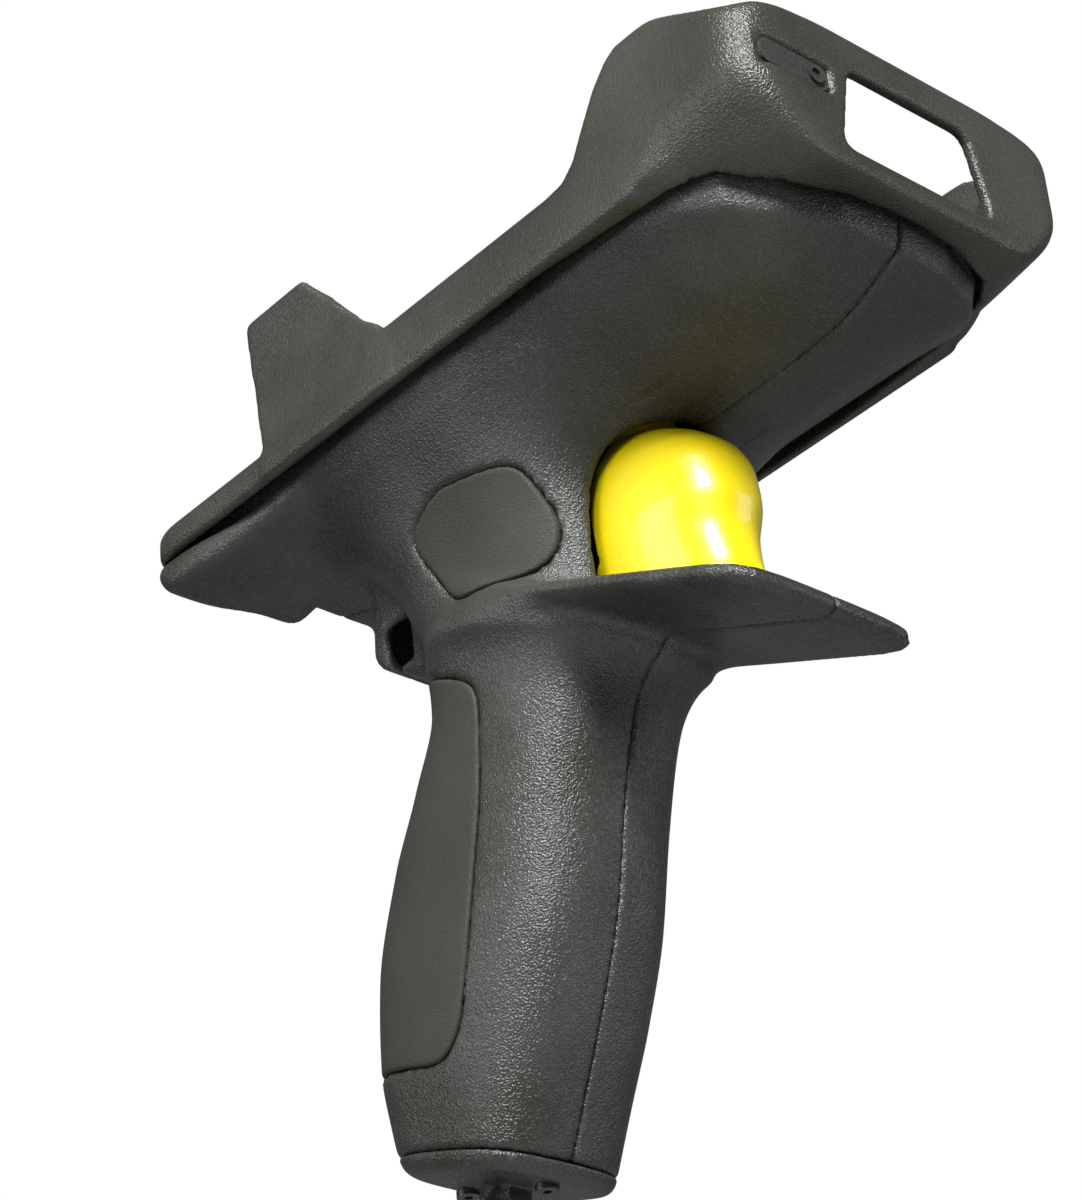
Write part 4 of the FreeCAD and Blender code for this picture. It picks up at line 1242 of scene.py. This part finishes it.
# ---- cradle ------------------------------------------------------------------------------------
@dataclass
class Cradle:
    """Tray with its head, scan window, side skirts and snap ears."""

    pitch: float = 0.8
    half: float = 42.0
    wall: float = 2.4
    corner: float = 9.5
    chamfer_point: Stations = (42.0, -70.0, 1.2)
    chamfer_normal: Stations = (0.711, -0.1495, -0.687)
    chamfer_end_y: float = -58.0
    floor_top: float = -0.6
    floor_bottom: float = -3.2
    rim_z: float = -7.5
    chin_z: float = -11.5
    low_wall_z: float = 6.5
    notch_y: float = 93.5
    crease_z: float = 15.5
    flare: float = 2.4
    front_rise: float = 0.62
    front_rim: tuple[Stations, Stations] = (
        (0.0, 17.0, 29.0, 36.0, 40.6, 45.0), (21.5, 21.5, 20.1, 18.1, 14.7, 10.5),
    )
    chin: tuple[Stations, Stations] = (
        (0.0, 22.0, 29.0, 34.0, 38.5, 42.0), (-11.5, -11.5, -10.9, -9.6, -7.6, -5.8),
    )
    window: Outline = ((19.0, -6.0), (15.2, 12.8))
    under: Outline = (
        (39.6, 120.0), (39.6, -20.0), (37.8, -42.0), (36.6, -53.6), (33.4, -62.6), (25.4, -70.2),
        (13.2, -74.4), (4.0, -75.2),
    )
    screw_x: float = 31.9
    screw_y: Stations = (-44.0, 8.0, 62.0)
    screw_radius: float = 1.5
    screw_head: float = 2.6
    contact_radius: float = 1.45
    pad_play: float = 0.2
    plug_play: float = 0.3
    ear_top: float = 30.5
    margin: float = 1.8
    land: Outline = ((-26.0, -50.0), (26.0, -50.0), (26.0, 44.0), (-26.0, 44.0))

    def plan(self, g: Lattice, place: Place, inset: float) -> Array:
        """Plan of the tray with its notch for a cable socket at the rear.

        Args:
            g: The samples.
            place: The cradle's box.
            inset: How far the outline is drawn in.

        Returns:
            The plan's field.
        """
        front = place.low.y
        rear = place.high.y
        right = [(self.half, front), (self.half, rear), (30.0, rear), (22.0, self.notch_y)]
        return from_outline(eased(both_sides(right), self.corner, 7), g.x, g.y) + inset

    def side_view(self, g: Lattice, place: Place) -> Array:
        """Side view of the tray and its head, without the ears.

        Args:
            g: The samples.
            place: The cradle's box.

        Returns:
            The side view's field.
        """
        front = place.low.y
        outline = [
            (place.high.y + 6, self.rim_z), (-50.0, self.rim_z), (-62.0, -9.0), (-72.0, self.chin_z),
            (front - 6, self.chin_z), (front - 6, 21.0), (-76.0, 21.6), (-70.0, 22.2), (-64.0, 25.0),
            (-59.0, 27.2), (-54.0, 27.6), (-48.5, 27.6), (-45.4, 26.0), (-41.5, 21.8), (-37.5, 15.2),
            (-34.5, 9.8), (-31.5, 7.2), (-27.0, self.low_wall_z), (27.0, self.low_wall_z),
            (29.0, self.floor_top), (place.high.y + 6, self.floor_top),
        ]
        return from_outline(outline, g.y, g.z)

    def ear(self, g: Lattice, place: Place) -> Array:
        """Both snap ears: upright to the crease, then leaning out, with a catch inside.

        Args:
            g: The samples.
            place: The cradle's box.

        Returns:
            The ears' field.
        """
        out = self.half
        inner = out - self.wall
        top = self.ear_top
        section = [
            (out, self.rim_z), (out, self.crease_z), (out + self.flare, top + 3.0),
            (inner + self.flare, top + 3.0), (inner + 1.4, top - 4.0), (inner - 1.2, top - 6.0),
            (inner, top - 8.5), (inner, self.rim_z),
        ]
        outline = [
            (19.0, 0.5), (22.6, self.low_wall_z + 1.6), (27.4, 12.0), (43.0, top - 0.2),
            (45.2, place.high.z), (60.8, place.high.z), (62.2, top - 0.8), (62.6, 18.5),
            (61.6, 8.0), (60.4, 0.0), (60.0, self.rim_z), (19.0, self.rim_z),
        ]
        edge = from_outline(outline, g.y, g.z)
        return meet(from_outline(section, np.abs(g.x), g.z), edge, 1.4)

    def shell(self, g: Lattice, place: Place) -> Array:
        """Tray, walls and head before the small cuts.

        Args:
            g: The samples.
            place: The cradle's box.

        Returns:
            The tray's field.
        """
        front = place.low.y
        outer = meet(self.plan(g, place, 0.0), self.side_view(g, place), 2.2)
        rim = glide(np.abs(g.x), *self.front_rim)
        rise = self.front_rise * np.clip(g.y - front, 0.0, 60.0)
        slant = (g.z - rim - rise) * 0.8
        outer = meet(outer, np.minimum(slant, -56.0 - g.y), 2.0)
        chin = (glide(np.abs(g.x), *self.chin) - g.z) * 0.94
        outer = meet(outer, np.minimum(chin, -50.0 - g.y), 1.4)
        outer = meet(outer, self.corner_relief(g), 4.0)
        room = np.maximum(self.plan(g, place, self.wall), self.floor_top - g.z)
        inner = self.half - self.wall
        behind = g.slab((-inner, inner), (70.0, 200.0), (self.floor_top, 90.0))
        lip = g.slab((-30.0, 30.0), (front - 9, front + self.wall + 3.0), (19.3, 99.0))
        room = np.maximum(np.minimum(room, behind), -lip)
        room = np.maximum(room, self.corner_relief(g) + self.wall + 1.0)
        shell = carve(outer, room, 1.1)
        return join(shell, self.ear(g, place), 1.2)

    def under_cut(self, g: Lattice, place: Place) -> Array:
        """Room for the housing under the tray.

        Args:
            g: The samples.
            place: The cradle's box.

        Returns:
            The room's field.
        """
        rear = place.high.y - self.wall
        plan = np.maximum(from_outline(both_sides(self.under), g.x, g.y), g.y - rear)
        plan = np.minimum(plan, np.maximum(np.abs(g.x) - 30.0, 80.0 - g.y))
        return np.maximum(plan, g.z - self.floor_bottom)

    def scan_window(self, g: Lattice, place: Place) -> Array:
        """Window in the front wall.

        Args:
            g: The samples.
            place: The cradle's box.

        Returns:
            The window's field.
        """
        outline = eased(both_sides(self.window), 3.0)
        depth = between(g.y, place.low.y - 9.0, place.low.y + 8.0)
        return np.maximum(from_outline(outline, g.x, g.z), depth)

    def corner_relief(self, g: Lattice) -> Array:
        """Slanting cut under each front corner, which leaves a ridge round the corner.

        Args:
            g: The samples.

        Returns:
            The field of what stays.
        """
        px, py, pz = self.chamfer_point
        nx, ny, nz = self.chamfer_normal
        plane = nx * (np.abs(g.x) - px) + ny * (g.y - py) + nz * (g.z - pz)
        return plane - 0.5 * np.maximum(g.y - self.chamfer_end_y, 0.0)

    def small_cuts(self, g: Lattice, shell: Array) -> Array:
        """Screw holes, contact holes, pockets for the pads and the recess beside the window.

        Args:
            g: The samples.
            shell: The shell so far.

        Returns:
            The shell with its cuts.
        """
        for side in Side:
            for y in self.screw_y:
                x = side.value * self.screw_x
                shell = np.maximum(shell, -g.rod("z", self.screw_radius, (x, y), -5.0, 0.4))
                reach = np.sqrt((g.x - x) ** 2 + (g.y - y) ** 2)
                cone = reach - self.screw_head - np.minimum(g.z - self.floor_top, 0.0)
                shell = np.maximum(shell, -np.maximum(cone * 0.8, between(g.z, -2.2, 1.0)))
        for i in range(1, 5):
            pin = Place("contact_pin_%d" % i).middle
            shell = carve(shell, g.rod("z", self.contact_radius, (pin.x, pin.y), -5.0, 0.6), 0.3)
        for name in ("front_seat_pad", "rear_seat_pad"):
            pad = Place(name)
            across = (pad.low.x - self.pad_play, pad.high.x + self.pad_play)
            along = (pad.low.y - self.pad_play, pad.high.y + self.pad_play)
            shell = carve(shell, g.slab(across, along, (-1.1, 4.0)), 0.3)
        plug = Place("port_plug")
        across = (plug.low.x - self.plug_play, plug.high.x + self.plug_play)
        tall = (plug.low.z - self.plug_play, plug.high.z + self.plug_play)
        recess = g.slab(across, (-99.0, plug.high.y), tall)
        return carve(shell, recess, 0.7)

    def make(self, wardrobe: Wardrobe) -> None:
        """Build the cradle and hand it over.

        Args:
            wardrobe: Where the materials come from.
        """
        place = Place("cradle_shell")
        low = [c - self.margin for c in place.low]
        high = [c + self.margin for c in place.high]
        g = Lattice(low, high, self.pitch)
        shell = self.shell(g, place)
        shell = carve(shell, self.under_cut(g, place), 0.8)
        shell = carve(shell, self.scan_window(g, place), 0.9)
        land = from_outline(eased(self.land, 5.0), g.x, g.y)
        land = meet(land, between(g.z, self.floor_bottom + 0.6, 0.0), 0.6)
        shell = np.minimum(shell, land)
        shell = self.small_cuts(g, shell)
        piece = g.mesh("cradle_moulding", np.maximum(shell, place.block(g)))
        hand_over(piece, Body.HANDLE, Slot.shell_plastic, wardrobe, "cradle_shell")


# ---- carried-over parts ------------------------------------------------------------------------
@dataclass(frozen=True)
class Fittings:
    """Frame nodes that keep their own shape, by material slot."""

    groups: tuple[tuple[Slot, tuple[str, ...]], ...] = (
        (Slot.pad_rubber, ("port_plug", "left_ear_pad", "right_ear_pad", "front_seat_pad",
                           "rear_seat_pad")),
        (Slot.screw_steel, ("clamshell_screws", "cradle_screws", "butt_screws", "switch_screws",
                            "board_screws")),
        (Slot.brass, ("clamshell_inserts", "cradle_inserts")),
        (Slot.steel, ("trigger_pin", "trigger_spring", "switch_bracket", "contact_springs")),
        (Slot.bush_plastic, ("trigger_bushes",)),
        (Slot.switch_plastic, ("switch_body", "contact_block")),
        (Slot.plunger_red, ("switch_plunger",)),
        (Slot.wire_sleeve, ("switch_leads",)),
        (Slot.foam, ("contact_gasket",)),
        (Slot.gold_contact, ("contact_pin_1", "contact_pin_2", "contact_pin_3", "contact_pin_4")),
        (Slot.board_green, ("contact_board",)),
    )

    def dress(self, frame: dict, wardrobe: Wardrobe) -> None:
        """Dress each node.

        Args:
            frame: The loaded frame.
            wardrobe: Where the materials come from.
        """
        for slot, names in self.groups:
            for name in names:
                wardrobe.dress(frame["nodes"][name], slot)
                LOG.info("%s: %s", name, slot.name)


# ---- studio ------------------------------------------------------------------------------------
@dataclass(frozen=True)
class Lamp:
    """A square soft light that looks at the object.

    Attributes:
        name: The light's name.
        back: How far its direction leans back towards the camera.
        right: How far it leans to the camera's right.
        up: How far it leans up in the camera's view.
        distance: How far away it hangs, in metres.
        size: Edge length, in metres.
        power: Watts.
    """

    name: str
    back: float
    right: float
    up: float
    distance: float
    size: float
    power: float


@dataclass
class Studio:
    """Pale floor, soft lights and the camera."""

    azimuth: float = -42.73
    elevation: float = -31.18
    roll: float = -4.75
    distance: float = 629.28
    target: Stations = (0.0, 27.93, -37.36)
    lens: float = 97.79
    floor_drop: float = 0.55
    ambient: float = 0.15
    floor_glow: float = 0.6
    floor_half: float = 6.0
    sensor_height: float = 36.0
    lamps: tuple[Lamp, ...] = (
        Lamp("key_light", 0.42, -0.12, 0.9, 0.9, 0.26, 19.0),
        Lamp("side_light", 0.3, -1.0, 0.3, 0.9, 0.5, 4.0),
        Lamp("rim_light", 0.1, 1.0, 0.3, 1.0, 0.5, 2.5),
    )

    def axes(self) -> tuple[Vector, Vector, Vector]:
        """Right, up and back directions of the camera.

        Returns:
            The three directions.
        """
        a = math.radians(self.azimuth)
        e = math.radians(self.elevation)
        r = math.radians(self.roll)
        back = Vector((math.sin(a) * math.cos(e), -math.cos(a) * math.cos(e), math.sin(e)))
        right = Vector((math.cos(a), math.sin(a), 0.0))
        up = back.cross(right)
        return right * math.cos(r) + up * math.sin(r), up * math.cos(r) - right * math.sin(r), back

    def camera(self) -> None:
        """Place the camera."""
        right, up, back = self.axes()
        data = bpy.data.cameras.new("studio_camera")
        data.sensor_fit = "VERTICAL"
        data.sensor_height = self.sensor_height
        data.lens = self.lens
        data.clip_start = 0.01
        camera = bpy.data.objects.new("studio_camera", data)
        place = (Vector(self.target) + back * self.distance) * MM
        rotation = Matrix((right, up, back)).transposed().to_4x4()
        camera.matrix_world = Matrix.Translation(place) @ rotation
        bpy.context.scene.collection.objects.link(camera)
        bpy.context.scene.camera = camera

    def hang(self, lamp: Lamp) -> None:
        """Hang one of the lamps.

        Args:
            lamp: Which one.
        """
        data = bpy.data.lights.new(lamp.name, "AREA")
        data.shape = "SQUARE"
        data.size = lamp.size
        data.energy = lamp.power
        light = bpy.data.objects.new(lamp.name, data)
        right, up, back = self.axes()
        direction = back * lamp.back + right * lamp.right + up * lamp.up
        centre = Vector(self.target) * MM
        light.location = centre + direction.normalized() * lamp.distance
        light.rotation_euler = (centre - light.location).to_track_quat("-Z", "Y").to_euler()
        bpy.context.scene.collection.objects.link(light)

    def floor(self) -> None:
        """Lay the pale floor well below the object."""
        low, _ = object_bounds()
        mesh = bpy.data.meshes.new("studio_floor")
        z = low[2] - self.floor_drop
        far = self.floor_half
        corners = [(-far, -far, z), (far, -far, z), (far, far, z), (-far, far, z)]
        mesh.from_pydata(corners, [], [(0, 1, 2, 3)])
        floor = bpy.data.objects.new("studio_floor", mesh)
        bpy.context.scene.collection.objects.link(floor)
        material = bpy.data.materials.new("pale_floor")
        material.use_nodes = True
        bench = NodeBench(material.node_tree)
        shader = material.node_tree.nodes["Principled BSDF"]
        cloud = bench.add("ShaderNodeTexNoise", None, Scale=3.0)
        tone = Finish.mix(bench, cloud.outputs[0], (0.80, 0.80, 0.80, 1), (0.86, 0.86, 0.86, 1))
        material.node_tree.links.new(tone, shader.inputs["Base Color"])
        shader.inputs["Roughness"].default_value = 0.8
        shader.inputs["Emission Color"].default_value = (0.9, 0.9, 0.9, 1.0)
        seen = bench.add("ShaderNodeLightPath").outputs["Is Camera Ray"]
        glow = bench.math("MULTIPLY", seen, self.floor_glow)
        material.node_tree.links.new(glow, shader.inputs["Emission Strength"])
        mesh.materials.append(material)
        floor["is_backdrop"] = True

    def build(self) -> None:
        """Set up the camera, lights, floor and surroundings."""
        self.camera()
        self.floor()
        for lamp in self.lamps:
            self.hang(lamp)
        self.surroundings()
        bpy.context.scene.view_settings.view_transform = "Standard"

    def surroundings(self) -> None:
        """White surroundings, brighter behind the object than the light they give."""
        world = bpy.data.worlds.new("studio_surroundings")
        world.use_nodes = True
        bench = NodeBench(world.node_tree)
        sky = world.node_tree.nodes["Background"]
        sky.inputs["Color"].default_value = (1.0, 1.0, 1.0, 1.0)
        seen = bench.add("ShaderNodeLightPath").outputs["Is Camera Ray"]
        extra = bench.math("MULTIPLY", seen, 1.0 - self.ambient)
        world.node_tree.links.new(bench.math("ADD", extra, self.ambient), sky.inputs["Strength"])
        bpy.context.scene.world = world


def main() -> None:
    """Build every sub-assembly round the frame and note the sizes."""
    logging.basicConfig(level=logging.INFO, format="%(message)s")
    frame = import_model()
    wardrobe = Wardrobe(Effects(), {})
    Studio().build()
    Cradle().make(wardrobe)
    lever = Trigger()
    Handle(HandleSkin(), FootPlane(), lever).make(frame, wardrobe)
    lever.make(wardrobe)
    Fittings().dress(frame, wardrobe)


if __name__ == "__main__":
    main()
